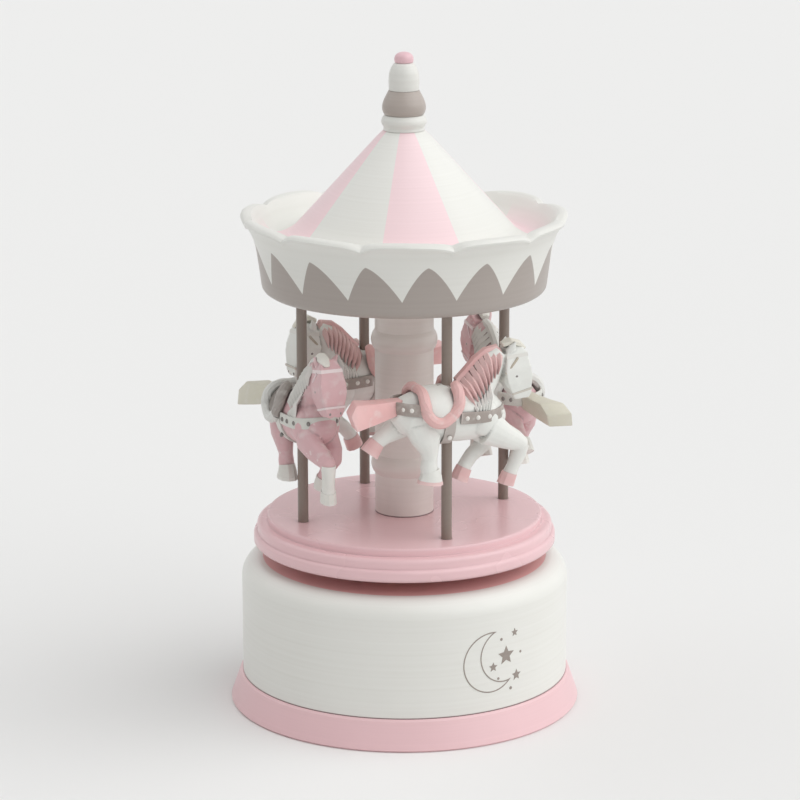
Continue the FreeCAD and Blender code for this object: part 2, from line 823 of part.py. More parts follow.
def tune_cylinder():
    hollow = on_cylinder(cylinder_radius - cylinder_wall, cylinder_start + cylinder_end_wall, cylinder_end)
    bore = on_cylinder(train_arbor_radius, cylinder_start, cylinder_end)
    return on_cylinder(cylinder_radius, cylinder_start, cylinder_end).cut([hollow, bore])


def tune_pins():
    pins = []
    for track in range(comb_teeth):
        for k in range(pins_per_track):
            stray = pin_stray * (k * track % pins_per_track)
            turn = math.radians(360.0 * k / pins_per_track + track_turn * track + stray)
            way = V(0, math.cos(turn), math.sin(turn))
            foot = V(track_place(track), 0, cylinder_level) + way * (cylinder_radius - pin_root)
            pins.append(Part.makeCylinder(pin_radius, pin_root + pin_reach, foot, way))
    return Part.makeCompound(pins)


def cylinder_arbor():
    return on_cylinder(train_arbor_radius, arbor_start, arbor_end)


def cylinder_pinion():
    start = crown_pitch_radius - pinion_width / 2
    phase = 270 + 180.0 / pinion_teeth
    return spur_gear(pinion_teeth, crown_module, pinion_width, start, 0, cylinder_level, phase,
                     train_arbor_radius)


def cylinder_gear():
    gear = spur_gear(cylinder_gear_teeth, train_module, gear_width, cylinder_end, 0, cylinder_level, 180,
                     train_arbor_radius)
    spigot = on_cylinder(cylinder_radius - cylinder_wall, cylinder_end - gear_spigot, cylinder_end)
    return fuse([gear, spigot]).cut(on_cylinder(train_arbor_radius, cylinder_end - gear_spigot, gear_end))


# Governor and fan

def governor_block():
    depth = (cheek_front, cheek_back)
    pieces = [block((cheek_inner, cheek_end), depth, (plate_top, plate_top + cheek_thickness))]
    for start in (cheek_inner, cheek_outer):
        pieces.append(block((start, start + cheek_thickness), depth, (plate_top, fan_level + cheek_margin)))
    bore = light_arbor_radius + running_fit
    holes = [cross_rod(bore, cheek_inner, cheek_end, governor_y, cylinder_level),
             cross_rod(bore, cheek_inner, cheek_end, fan_y, fan_level),
             rod(screw_radius, plate_top, plate_top + cheek_thickness, governor_screw_spot)]
    return fuse(pieces).cut(holes)


def governor_arbor():
    return cross_rod(light_arbor_radius, cheek_inner - side_gap, cheek_end + side_gap, governor_y,
                     cylinder_level)


def governor_pinion():
    start = cylinder_end - (pinion_width - gear_width) / 2
    phase = 180.0 / small_pinion_teeth
    return spur_gear(small_pinion_teeth, train_module, pinion_width, start, governor_y, cylinder_level, phase,
                     light_arbor_radius)


def governor_wheel():
    return spur_gear(governor_wheel_teeth, train_module, gear_width, wheel_start, governor_y, cylinder_level,
                     180 - fan_rise, light_arbor_radius)


def fan_arbor():
    return cross_rod(light_arbor_radius, fan_start - side_gap, cheek_end + side_gap, fan_y, fan_level)


def fan_pinion():
    start = wheel_start - (pinion_width - gear_width) / 2
    phase = 180.0 / small_pinion_teeth - fan_rise
    return spur_gear(small_pinion_teeth, train_module, pinion_width, start, fan_y, fan_level, phase,
                     light_arbor_radius)


def air_fan():
    length = (fan_start, fan_start + fan_length)
    hub = cross_rod(light_arbor_radius + fan_hub_wall, *length, fan_y, fan_level)
    blade = block(length, (fan_y - fan_reach, fan_y + fan_reach),
                  (fan_level - fan_blade / 2, fan_level + fan_blade / 2))
    return fuse([hub, blade]).cut(cross_rod(light_arbor_radius, *length, fan_y, fan_level))


def group(shapes):
    return Part.makeCompound(shapes)


# All pieces, from the base up
pieces = {
    "base_ring": base_ring(),
    "drum_shell": drum_shell(),
    "ring_screws": group([sunk_screw(s, 0, ring_top + ring_screw_depth) for s in ring_screw_spots]),
    "winding_key": winding_key(),
    "spring_arbor": spring_arbor(),
    "movement_bedplate": movement_bedplate(),
    "movement_screws": group([flat_screw(s, plate_top, wood_screw_depth + plate_thickness)
                              for s in movement_screw_spots]),
    "one_way_clutch": one_way_clutch(),
    "spring_barrel": spring_barrel(),
    "mainspring": mainspring(),
    "barrel_cap": barrel_cap(),
    "drive_shaft": drive_shaft(),
    "cylinder_pinion": cylinder_pinion(),
    "cylinder_arbor": cylinder_arbor(),
    "tune_cylinder": tune_cylinder(),
    "tune_pins": tune_pins(),
    "cylinder_gear": cylinder_gear(),
    "comb": comb(),
    "comb_screws": group([flat_screw(s, comb_top, comb_screw_depth) for s in comb_screw_spots]),
    "governor_block": governor_block(),
    "governor_screw": flat_screw(governor_screw_spot, plate_top + cheek_thickness,
                                 cheek_thickness + plate_thickness),
    "governor_arbor": governor_arbor(),
    "governor_pinion": governor_pinion(),
    "governor_wheel": governor_wheel(),
    "fan_arbor": fan_arbor(),
    "fan_pinion": fan_pinion(),
    "air_fan": air_fan(),
    "shaft_bush": shaft_bush(),
    "thrust_washer": thrust_washer(),
    "platform_hub": platform_hub(),
    "hub_screws": group([sunk_screw(s, hub_bottom, platform_bottom + hub_screw_depth)
                         for s in hub_screw_spots]),
    "platform": platform(),
    "column": column(),
    "canopy": canopy(),
    "finial_dowel": finial_dowel(),
    "finial_foot": finial_foot(),
    "finial_ring": finial_bead(taupe_bottom, taupe_height, taupe_foot, taupe_radius, taupe_head),
    "finial_bulb": finial_bead(bulb_bottom, bulb_height, bulb_foot, bulb_radius, bulb_head),
    "finial_tip": finial_tip(),
}
for number, spot in enumerate(pole_spots):
    pieces["pole_%d" % (number + 1)] = pole(spot)
figure = horse_figure()
for number in range(pole_count):
    pieces["horse_%d" % (number + 1)] = placed_horse(figure, number)

os.makedirs("parts", exist_ok=True)
for name, shape in pieces.items():
    shape.exportStep("parts/%s.step" % name)
    print(name, "valid" if shape.isValid() else "NOT VALID", len(shape.Solids), round(shape.Volume, 2))
print("base diameter", round(2 * ring_bottom_radius, 2), "height", round(finial_top, 2))
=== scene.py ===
import math

import bpy
from mathutils import Euler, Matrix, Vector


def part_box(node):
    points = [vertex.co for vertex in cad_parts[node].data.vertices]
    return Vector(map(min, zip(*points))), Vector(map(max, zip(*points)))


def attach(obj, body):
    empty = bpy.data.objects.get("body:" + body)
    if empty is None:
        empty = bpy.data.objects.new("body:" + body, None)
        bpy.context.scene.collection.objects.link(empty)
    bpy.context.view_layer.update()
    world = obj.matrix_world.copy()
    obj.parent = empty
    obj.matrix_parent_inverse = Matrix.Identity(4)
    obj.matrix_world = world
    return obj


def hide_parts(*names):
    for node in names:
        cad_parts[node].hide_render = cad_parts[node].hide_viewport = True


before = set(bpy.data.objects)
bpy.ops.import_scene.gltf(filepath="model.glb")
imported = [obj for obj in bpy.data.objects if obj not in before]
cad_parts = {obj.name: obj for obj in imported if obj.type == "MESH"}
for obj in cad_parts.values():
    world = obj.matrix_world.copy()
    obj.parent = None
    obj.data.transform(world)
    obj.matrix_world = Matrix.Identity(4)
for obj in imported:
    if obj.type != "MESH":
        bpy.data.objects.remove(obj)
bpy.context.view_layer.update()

# Plinth and drum: two rings turned from beech and sprayed with satin lacquer, pink below and white above.
# The drum stands inside the plinth's rim and is screwed to it from below. A fine dark line of painted shadow
# is drawn on the drum where they meet; its flat top below the platform has a painted pink reflection.
MM = 0.001
plinth_pink = "#ECC6CA"
drum_white = "#EBEBE6"
platform_reflection_pink = "#F0BFBC"
drum_top_radius = 42.6 * MM
joint_level = 9.0 * MM
joint_width = 0.45 * MM
joint_core = 0.18 * MM
joint_shadow_colour = "#7E6A68"
ring_shade = "#F4F3F1"
cloud_size = 22 * MM
# The lathe's rings and the peel are finer on the real piece, and are drawn this coarse so that they show.
lathe_step = 1.1 * MM
peel_size = 0.7 * MM
peel_depth = 0.012 * MM
sheen_spread = 0.05


def linear(colour):
    """An sRGB hex colour as linear red, green, blue and alpha."""
    shares = [int(colour[place:place + 2], 16) / 255 for place in (1, 3, 5)]
    return [s / 12.92 if s <= 0.04045 else ((s + 0.055) / 1.055) ** 2.4 for s in shares] + [1.0]


def add_node(tree, kind, inputs=(), **settings):
    """Adds a node with its settings; an input, by name or number, is a value or another node's output."""
    added = tree.nodes.new(kind)
    for name, value in settings.items():
        setattr(added, name, value)
    for socket, value in dict(inputs).items():
        if isinstance(value, bpy.types.NodeSocket):
            tree.links.new(value, added.inputs[socket])
        else:
            added.inputs[socket].default_value = value
    return added


def darker(colour, share):
    """The same hex colour, a share darker, or paler where the share is negative."""
    parts = [round(int(colour[place:place + 2], 16) * (1 - share)) for place in (1, 3, 5)]
    return "#%02X%02X%02X" % tuple(parts)


def lacquered_wood(name, colour, roughness=0.34, foot=None, pattern=None, soft_edge=0.0):
    """Satin lacquer on turned beech: a soft even sheen, faint lathe rings, slight clouding from the spray."""
    material = bpy.data.materials.new(name)
    material.use_nodes = True
    tree = material.node_tree
    surface = tree.nodes["Principled BSDF"]
    place = add_node(tree, "ShaderNodeTexCoord").outputs["Object"]
    split = add_node(tree, "ShaderNodeSeparateXYZ", {0: place})
    flat = add_node(tree, "ShaderNodeVectorMath", {0: place, 1: (1, 1, 0)}, operation="MULTIPLY")
    radius = add_node(tree, "ShaderNodeVectorMath", {0: flat.outputs[0]}, operation="LENGTH").outputs["Value"]
    cloud = add_node(tree, "ShaderNodeTexNoise", {"Vector": place, "Scale": 1 / cloud_size, "Detail": 2.0})
    base = pattern(tree, split) if pattern else linear(colour)
    along = add_node(tree, "ShaderNodeMath", {0: split.outputs["Z"], 1: radius}, operation="SUBTRACT")
    rings = add_node(tree, "ShaderNodeTexNoise", {"W": along.outputs[0], "Scale": 1 / lathe_step,
                                                  "Detail": 1.0}, noise_dimensions="1D")
    mottle = add_node(tree, "ShaderNodeMath", {0: cloud.outputs["Fac"], 1: rings.outputs["Fac"]},
                      operation="MULTIPLY")
    tone = add_node(tree, "ShaderNodeMixRGB", {"Fac": mottle.outputs[0], "Color1": base,
                                               "Color2": linear(ring_shade)}, blend_type="MULTIPLY")
    # Painted shadow: a fine dark line just above the foot, standing in for the shade in the joint there.
    if foot is not None:
        line = add_node(tree, "ShaderNodeMapRange", {
            "Value": split.outputs["Z"], "From Min": foot + joint_width, "From Max": foot + joint_core})
        tone = add_node(tree, "ShaderNodeMixRGB", {"Fac": line.outputs[0], "Color1": tone.outputs[0],
                                                   "Color2": linear(joint_shadow_colour)})
    tree.links.new(tone.outputs[0], surface.inputs["Base Color"])
    sheen = add_node(tree, "ShaderNodeMapRange", {"Value": cloud.outputs["Fac"],
                                                  "To Min": roughness - sheen_spread,
                                                  "To Max": roughness + sheen_spread})
    tree.links.new(sheen.outputs[0], surface.inputs["Roughness"])
    peel = add_node(tree, "ShaderNodeTexNoise", {"Vector": place, "Scale": 1 / peel_size, "Detail": 1.0})
    relief = add_node(tree, "ShaderNodeMath", {0: rings.outputs["Fac"], 1: peel.outputs["Fac"]},
                      operation="ADD")
    edge = add_node(tree, "ShaderNodeBevel", {"Radius": soft_edge}, samples=6)
    bump = add_node(tree, "ShaderNodeBump", {"Height": relief.outputs[0], "Strength": 0.35,
                                             "Distance": peel_depth, "Normal": edge.outputs[0]})
    tree.links.new(bump.outputs[0], surface.inputs["Normal"])
    surface.inputs["IOR"].default_value = 1.5
    return material


def dress(material, *nodes):
    """Gives CAD nodes a finish."""
    for name in nodes:
        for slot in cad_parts[name].material_slots:
            slot.material = material


dress(lacquered_wood("pink_lacquer_on_beech", plinth_pink), "base_ring")


def drum_white_and_reflection(tree, split):
    """White on the wall and the rounded shoulder; pink on the flat top below the platform, a painted
    reflection of the platform's pink underside.
    """
    flat = add_node(tree, "ShaderNodeCombineXYZ", {0: split.outputs["X"], 1: split.outputs["Y"]})
    radius = add_node(tree, "ShaderNodeVectorMath", {0: flat.outputs[0]}, operation="LENGTH")
    inside = add_node(tree, "ShaderNodeMath", {0: radius.outputs["Value"], 1: drum_top_radius},
                      operation="LESS_THAN")
    return add_node(tree, "ShaderNodeMixRGB", {"Fac": inside.outputs[0], "Color1": linear(drum_white),
                                               "Color2": linear(platform_reflection_pink)}).outputs[0]


# The drum's flat top below the platform is coloured pink: a painted reflection of the platform's underside.
white_lacquer = lacquered_wood("white_lacquer_on_beech", drum_white, foot=joint_level, pattern=drum_white_and_reflection)
dress(white_lacquer, "drum_shell")

# Print on the drum: a crescent moon with stars, pad-printed in taupe ink on the front right.
# The ink lies on the lacquer as a film of a few hundredths of a millimetre. Its outlines are in mm, from the
# middle of the print.
print_turn = math.radians(31)
print_level = 24.0 * MM
drum_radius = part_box("drum_shell")[1].x
ink_taupe = "#8E857E"
ink_film = 0.06 * MM
ink_grain = 0.9 * MM
ink_line = 0.34
moon_radius = 9.2
moon_steps = 64
moon_bite_radius = 8.0
moon_bite_across = 4.6
moon_bite_up = 1.6
moon_bite_steps = 48
stars = ((5.2, 1.2, 3.0), (0.6, -1.6, 1.5), (8.4, 7.6, 1.3), (9.2, -5.6, 1.8))
star_waist = 0.46
dots = ((3.4, 6.4, 0.45), (7.0, -9.2, 0.5), (10.8, 1.2, 0.4), (2.4, -5.4, 0.4))
dot_sides = 16


def apply_modifier(piece, kind, **settings):
    """Adds a modifier with its settings and applies it."""
    bpy.context.view_layer.objects.active = piece
    modifier = piece.modifiers.new(kind.title(), kind)
    for name, value in settings.items():
        setattr(modifier, name, value)
    bpy.ops.object.modifier_apply(modifier=modifier.name)


def join(forms, name):
    """Makes one piece of several forms."""
    bpy.ops.object.select_all(action="DESELECT")
    for form in forms:
        form.select_set(True)
    bpy.context.view_layer.objects.active = forms[0]
    bpy.ops.object.join()
    forms[0].name = name
    forms[0].data.name = name
    return forms[0]


def outline(points):
    """A flat closed sheet standing in the XZ plane through points in mm."""
    sheet = bpy.data.meshes.new("ink")
    sheet.from_pydata([(x * MM, 0, z * MM) for x, z in points], [], [range(len(points))])
    form = bpy.data.objects.new("ink", sheet)
    bpy.context.scene.collection.objects.link(form)
    return form


def star_points(x, z, size):
    """The corners of a five-pointed star."""
    spots = []
    for corner in range(10):
        reach = size if corner % 2 == 0 else size * star_waist
        turn = math.pi * corner / 5
        spots.append((x + reach * math.sin(turn), z + reach * math.cos(turn)))
    return spots


def moon_points(shrink):
    """The crescent's edge, drawn in from its true edge by an amount in mm."""
    outer = moon_radius - shrink
    bite = moon_bite_radius + shrink
    apart = math.hypot(moon_bite_across, moon_bite_up)
    lean = math.atan2(moon_bite_up, moon_bite_across)
    cut = (outer ** 2 - bite ** 2 + apart ** 2) / (2 * apart)
    outer_half = math.acos(cut / outer)
    bite_half = math.atan2(math.sqrt(outer ** 2 - cut ** 2), cut - apart)
    spots = []
    for step in range(moon_steps + 1):
        turn = lean + outer_half + (2 * math.pi - 2 * outer_half) * step / moon_steps
        spots.append((outer * math.cos(turn), outer * math.sin(turn)))
    for step in range(1, moon_bite_steps):
        turn = lean + 2 * math.pi - bite_half + (2 * bite_half - 2 * math.pi) * step / moon_bite_steps
        spots.append((moon_bite_across + bite * math.cos(turn), moon_bite_up + bite * math.sin(turn)))
    return spots


def moon_line():
    """The crescent as a thin line between its true edge and an edge drawn in from it."""
    true_edge = outline(moon_points(0.0))
    inner_edge = outline(moon_points(ink_line))
    line = join([true_edge, inner_edge], "ink")
    bpy.ops.object.mode_set(mode="EDIT")
    bpy.ops.mesh.select_all(action="SELECT")
    bpy.ops.mesh.delete(type="ONLY_FACE")
    bpy.ops.mesh.select_all(action="SELECT")
    bpy.ops.mesh.bridge_edge_loops()
    bpy.ops.object.mode_set(mode="OBJECT")
    return line


ink_forms = [moon_line()]
for x, z, size in stars:
    ink_forms.append(outline(star_points(x, z, size)))
for x, z, size in dots:
    turns = [2 * math.pi * corner / dot_sides for corner in range(dot_sides)]
    ink_forms.append(outline([(x + size * math.sin(turn), z + size * math.cos(turn)) for turn in turns]))
drum_print = join(ink_forms, "drum_print")
bpy.ops.object.mode_set(mode="EDIT")
bpy.ops.mesh.select_all(action="SELECT")
bpy.ops.mesh.quads_convert_to_tris()
bpy.ops.mesh.subdivide(number_cuts=2)
bpy.ops.object.mode_set(mode="OBJECT")
for vertex in drum_print.data.vertices:
    turn = print_turn + vertex.co.x / drum_radius
    vertex.co = (drum_radius * math.sin(turn), -drum_radius * math.cos(turn), vertex.co.z + print_level)
bpy.ops.object.mode_set(mode="EDIT")
bpy.ops.mesh.select_all(action="SELECT")
bpy.ops.mesh.normals_make_consistent(inside=False)
bpy.ops.object.mode_set(mode="OBJECT")
apply_modifier(drum_print, "SOLIDIFY", thickness=2 * ink_film, offset=0.0)


def pad_ink(name, colour):
    """Pad-printing ink on lacquer: matt, thin enough to break up a little."""
    material = bpy.data.materials.new(name)
    material.use_nodes = True
    tree = material.node_tree
    surface = tree.nodes["Principled BSDF"]
    place = add_node(tree, "ShaderNodeTexCoord").outputs["Object"]
    grain = add_node(tree, "ShaderNodeTexNoise", {"Vector": place, "Scale": 1 / ink_grain, "Detail": 2.0})
    tone = add_node(tree, "ShaderNodeMixRGB", {"Fac": grain.outputs["Fac"], "Color1": linear(colour),
                                               "Color2": linear(darker(colour, -0.16))})
    tree.links.new(tone.outputs[0], surface.inputs["Base Color"])
    surface.inputs["Roughness"].default_value = 0.55
    return material


drum_print.data.materials.append(pad_ink("taupe_pad_ink", ink_taupe))
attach(drum_print, "base")

# Movement inside the drum and the key below it: steel arbors and comb, a brass cylinder and barrel, acetal
# gears, all on a zinc die-cast bedplate that is screwed into the drum from below.
scratch_length = 6 * MM
scratch_width = 0.25 * MM
cast_grain = 0.6 * MM
bloom_size = 5 * MM
flow_size = 2 * MM
mark_depth = 0.01 * MM


def worked_metal(name, colour, tarnish, roughness, grain_size, stretch):
    """Bare metal: bright where it was cut, with fine marks along the cut and a dull bloom in patches."""
    material = bpy.data.materials.new(name)
    material.use_nodes = True
    tree = material.node_tree
    surface = tree.nodes["Principled BSDF"]
    place = add_node(tree, "ShaderNodeTexCoord").outputs["Object"]
    drawn = add_node(tree, "ShaderNodeMapping", {"Vector": place, "Scale": stretch})
    marks = add_node(tree, "ShaderNodeTexNoise", {"Vector": drawn.outputs[0], "Scale": 1 / grain_size,
                                                  "Detail": 3.0})
    bloom = add_node(tree, "ShaderNodeTexNoise", {"Vector": place, "Scale": 1 / bloom_size, "Detail": 2.0})
    patch = add_node(tree, "ShaderNodeMapRange", {"Value": bloom.outputs["Fac"], "From Min": 0.45,
                                                  "From Max": 0.8})
    tone = add_node(tree, "ShaderNodeMixRGB", {"Fac": patch.outputs[0], "Color1": linear(colour),
                                               "Color2": linear(tarnish)})
    tree.links.new(tone.outputs[0], surface.inputs["Base Color"])
    dull = add_node(tree, "ShaderNodeMapRange", {"Value": marks.outputs["Fac"], "To Min": roughness - 0.08,
                                                 "To Max": roughness + 0.12})
    tree.links.new(dull.outputs[0], surface.inputs["Roughness"])
    bump = add_node(tree, "ShaderNodeBump", {"Height": marks.outputs["Fac"], "Strength": 0.3,
                                             "Distance": mark_depth})
    tree.links.new(bump.outputs[0], surface.inputs["Normal"])
    surface.inputs["Metallic"].default_value = 1.0
    return material


def moulded_acetal(name, colour):
    """Natural acetal: milky, slightly waxy, with faint flow marks from the mould."""
    material = bpy.data.materials.new(name)
    material.use_nodes = True
    tree = material.node_tree
    surface = tree.nodes["Principled BSDF"]
    place = add_node(tree, "ShaderNodeTexCoord").outputs["Object"]
    flow = add_node(tree, "ShaderNodeTexNoise", {"Vector": place, "Scale": 1 / flow_size, "Detail": 2.0,
                                                 "Distortion": 1.2})
    tone = add_node(tree, "ShaderNodeMixRGB", {"Fac": flow.outputs["Fac"], "Color1": linear(colour),
                                               "Color2": linear(darker(colour, 0.08))})
    tree.links.new(tone.outputs[0], surface.inputs["Base Color"])
    bump = add_node(tree, "ShaderNodeBump", {"Height": flow.outputs["Fac"], "Strength": 0.2,
                                             "Distance": mark_depth})
    tree.links.new(bump.outputs[0], surface.inputs["Normal"])
    surface.inputs["Roughness"].default_value = 0.42
    surface.inputs["IOR"].default_value = 1.48
    return material


scratch_stretch = (scratch_width / scratch_length, 1, 1)
drawn_steel = worked_metal("drawn_steel", "#C3C4C5", "#9A9A98", 0.3, scratch_width, scratch_stretch)
turned_brass = worked_metal("turned_brass", "#D9BC78", "#A98A4A", 0.28, scratch_width, scratch_stretch)
cast_zinc = worked_metal("die_cast_zinc", "#A7A8AA", "#8C8C8D", 0.5, cast_grain, (1, 1, 1))
acetal = moulded_acetal("natural_acetal", "#E6E1D2")
dress(drawn_steel, "ring_screws", "movement_screws", "one_way_clutch", "comb", "comb_screws",
      "governor_screw", "spring_arbor", "mainspring", "drive_shaft", "cylinder_arbor", "tune_pins",
      "governor_arbor", "fan_arbor", "hub_screws", "winding_key")
dress(turned_brass, "shaft_bush", "platform_hub", "spring_barrel", "barrel_cap", "tune_cylinder",
      "cylinder_gear")
dress(cast_zinc, "movement_bedplate", "governor_block")
dress(acetal, "cylinder_pinion", "governor_pinion", "governor_wheel", "fan_pinion", "air_fan",
      "thrust_washer")

# Platform: one turned beech disc with three stepped bands, lacquered pink and rubbed to a higher sheen than
# the plinth. It is screwed to the hub that the movement turns.
platform_pink = "#EDC7CB"
band_rounding = 1.1 * MM
rubbed_lacquer = lacquered_wood("pink_lacquer_rubbed", platform_pink, roughness=0.27, soft_edge=band_rounding)
dress(rubbed_lacquer, "platform")

# Column and poles: a turned column with two beads in the palest pink, and four taupe dowels glued into both
# discs. They stand tight on the platform; a fine dark line of painted shadow is drawn at the column's foot.
platform_top = 58.0 * MM
column_pink = "#EBE3DE"
pole_taupe = "#8D8077"
dress(lacquered_wood("pale_lacquer_on_beech", column_pink, foot=platform_top), "column")
dress(lacquered_wood("taupe_lacquer_on_dowel", pole_taupe), "pole_1", "pole_2", "pole_3", "pole_4")

# Horses: four resin castings from one mould, glued on their poles and painted by hand in two colour schemes.
# The mould gives them a ridged mane, a faceted tail, and a saddle and straps that stand out from the coat.
voxel = 0.3 * MM
brush_size = 3 * MM
bristle_size = 0.5 * MM
bristle_depth = 0.03 * MM
crease_shade_reach = 1.6 * MM
wear_and_highlight_white = "#F1EEEA"
horse_levels = (96.0, 91.0, 92.6, 91.0)
horse_turns = (90, 90, 98, 92)
horse_tilts = (0, -5, 0, -5)
horse_colours = {
    "coat": ("#EFF0EB", "#DFB7BA"),
    "stocking": ("#ECEDE8", "#E9E8E1"),
    "hoof": ("#E8AFAE", "#E3E1D9"),
    "hind_hoof": ("#EAEBE5", "#DDDBD3"),
    "mane": ("#E6A5A4", "#D8D8D2"),
    "strand": ("#EFF0EB", "#D8D8D2"),
    "tail": ("#EAB6B4", "#DEDAC8"),
    "roll": ("#EAB7B4", "#E1E2DD"),
    "pommel": ("#EAB7B4", "#9D948E"),
    "seat": ("#F0F1EC", "#857C75"),
    "strap": ("#A99E97", "#DCDCD5"),
    "stud": ("#EFEDE7", "#7C7773"),
    "bridle": ("#BFB5A4", "#EDD5D8"),
    "browband": ("#E2E1DA", "#EDD5D8"),
    "tuft": ("#E6E3D1", "#E8E6DC"),
    "eye": ("#857E7C", "#938B88"),
}


def hand_paint(name, colour, roughness=0.46):
    """Acrylic on cast resin: an eggshell sheen, brush mottling, dark pooled paint plus painted shade in
    hollows and creases, ridges worn pale plus a painted highlight.
    """
    material = bpy.data.materials.new(name)
    material.use_nodes = True
    tree = material.node_tree
    surface = tree.nodes["Principled BSDF"]
    place = add_node(tree, "ShaderNodeTexCoord").outputs["Object"]
    brush = add_node(tree, "ShaderNodeTexNoise", {"Vector": place, "Scale": 1 / brush_size, "Detail": 3.0})
    relief = add_node(tree, "ShaderNodeNewGeometry").outputs["Pointiness"]
    # Painted shade: the hollows, by pointiness, and creases and joins between forms, by ambient occlusion,
    # are darkened; in the hollows this is partly dark paint pooled there.
    hollow = add_node(tree, "ShaderNodeMapRange", {"Value": relief, "From Min": 0.5, "From Max": 0.43,
                                                   "To Max": 0.8})
    crease = add_node(tree, "ShaderNodeAmbientOcclusion", {"Distance": crease_shade_reach}, samples=8,
                      only_local=True)
    join_shade = add_node(tree, "ShaderNodeMapRange", {"Value": crease.outputs["AO"], "From Min": 0.75,
                                                 "From Max": 0.25, "To Max": 0.7})
    pooled_paint_and_shade = add_node(tree, "ShaderNodeMath", {0: hollow.outputs[0], 1: join_shade.outputs[0]}, operation="MAXIMUM")
    # Painted highlight: raised ridges, by pointiness, are paled towards white; this is partly real dry-brush
    # wear on them.
    ridge = add_node(tree, "ShaderNodeMapRange", {"Value": relief, "From Min": 0.53, "From Max": 0.62,
                                                  "To Max": 0.4})
    coat = add_node(tree, "ShaderNodeMixRGB", {"Fac": brush.outputs["Fac"], "Color1": linear(colour),
                                               "Color2": linear(darker(colour, 0.06))})
    dry = add_node(tree, "ShaderNodeMapRange", {"Value": brush.outputs["Fac"], "From Min": 0.5,
                                                "From Max": 0.72, "To Max": 0.32})
    pale = add_node(tree, "ShaderNodeMath", {0: ridge.outputs[0], 1: dry.outputs[0]}, operation="MAXIMUM")
    worn = add_node(tree, "ShaderNodeMixRGB", {"Fac": pale.outputs[0], "Color1": coat.outputs[0],
                                               "Color2": linear(wear_and_highlight_white)})
    tone = add_node(tree, "ShaderNodeMixRGB", {"Fac": pooled_paint_and_shade.outputs[0], "Color1": worn.outputs[0],
                                               "Color2": linear(darker(colour, 0.4))})
    tree.links.new(tone.outputs[0], surface.inputs["Base Color"])
    dull = add_node(tree, "ShaderNodeMapRange", {"Value": brush.outputs["Fac"], "To Min": roughness - 0.08,
                                                 "To Max": roughness + 0.08})
    tree.links.new(dull.outputs[0], surface.inputs["Roughness"])
    strokes = add_node(tree, "ShaderNodeTexNoise", {"Vector": place, "Scale": 1 / bristle_size,
                                                    "Detail": 2.0})
    bump = add_node(tree, "ShaderNodeBump", {"Height": strokes.outputs["Fac"], "Strength": 0.35,
                                             "Distance": bristle_depth})
    tree.links.new(bump.outputs[0], surface.inputs["Normal"])
    return material


paint = {}
repaint = {}
for what, (on_white, on_pink) in horse_colours.items():
    paint[what] = hand_paint("white_horse_%s_acrylic" % what, on_white)
    repaint[paint[what].name] = hand_paint("pink_horse_%s_acrylic" % what, on_pink)


def loft(rings, sides, what, square=False):
    """A form drawn through rings, as clay over wire; a ring is x, y, z, half height, half width in mm."""
    bpy.ops.object.select_all(action="DESELECT")
    bpy.ops.mesh.primitive_plane_add(size=MM)
    form = bpy.context.object
    bpy.ops.object.mode_set(mode="EDIT")
    bpy.ops.mesh.delete(type="VERT")
    for number, (x, y, z, tall, wide) in enumerate(rings):
        before = rings[max(number - 1, 0)]
        after = rings[min(number + 1, len(rings) - 1)]
        lean = math.atan2(after[0] - before[0], after[2] - before[2])
        spot = (x * MM, y * MM, z * MM)
        if square:
            bpy.ops.mesh.primitive_plane_add(size=2 * tall * MM, location=spot, rotation=(0, lean, 0))
            bpy.ops.mesh.delete(type="ONLY_FACE")
        else:
            bpy.ops.mesh.primitive_circle_add(vertices=sides, radius=tall * MM, location=spot,
                                              rotation=(0, lean, 0))
        bpy.ops.transform.resize(value=(1, wide / tall, 1), center_override=spot)
    bpy.ops.mesh.select_all(action="SELECT")
    bpy.ops.mesh.bridge_edge_loops()
    bpy.ops.mesh.select_all(action="SELECT")
    bpy.ops.mesh.fill_holes(sides=0)
    bpy.ops.mesh.normals_make_consistent(inside=False)
    bpy.ops.object.mode_set(mode="OBJECT")
    form.data.materials.append(paint[what])
    return form


def lump(x, y, z, long, wide, tall, what):
    """A rounded lump of clay."""
    bpy.ops.object.select_all(action="DESELECT")
    bpy.ops.mesh.primitive_uv_sphere_add(segments=20, ring_count=12, radius=MM,
                                         location=(x * MM, y * MM, z * MM))
    bpy.ops.transform.resize(value=(long, wide, tall))
    bpy.ops.object.transform_apply(location=True, rotation=True, scale=True)
    bpy.context.object.data.materials.append(paint[what])
    return bpy.context.object


def band(points, half_height, thickness, what):
    """A band on edge, or a roll if it has no height; a point is x, y, z in mm and its thickness share."""
    line = bpy.data.curves.new("band", "CURVE")
    line.dimensions = "3D"
    line.twist_mode = "Z_UP"
    line.extrude = half_height * MM
    line.bevel_depth = thickness * MM
    line.bevel_resolution = 3
    line.resolution_u = 8
    line.use_fill_caps = True
    spline = line.splines.new("BEZIER")
    spline.bezier_points.add(len(points) - 1)
    for knot, (x, y, z, share) in zip(spline.bezier_points, points):
        knot.co = (x * MM, y * MM, z * MM)
        knot.radius = share
        knot.handle_left_type = "AUTO"
        knot.handle_right_type = "AUTO"
    form = bpy.data.objects.new("band", line)
    bpy.context.scene.collection.objects.link(form)
    bpy.ops.object.select_all(action="DESELECT")
    form.select_set(True)
    bpy.context.view_layer.objects.active = form
    bpy.ops.object.convert(target="MESH")
    form = bpy.context.object
    form.data.materials.clear()
    form.data.materials.append(paint[what])
    return form


def mirrored(points):
    """The same points on the horse's other side."""
    return [(x, -y, z, *rest) for x, y, z, *rest in points]


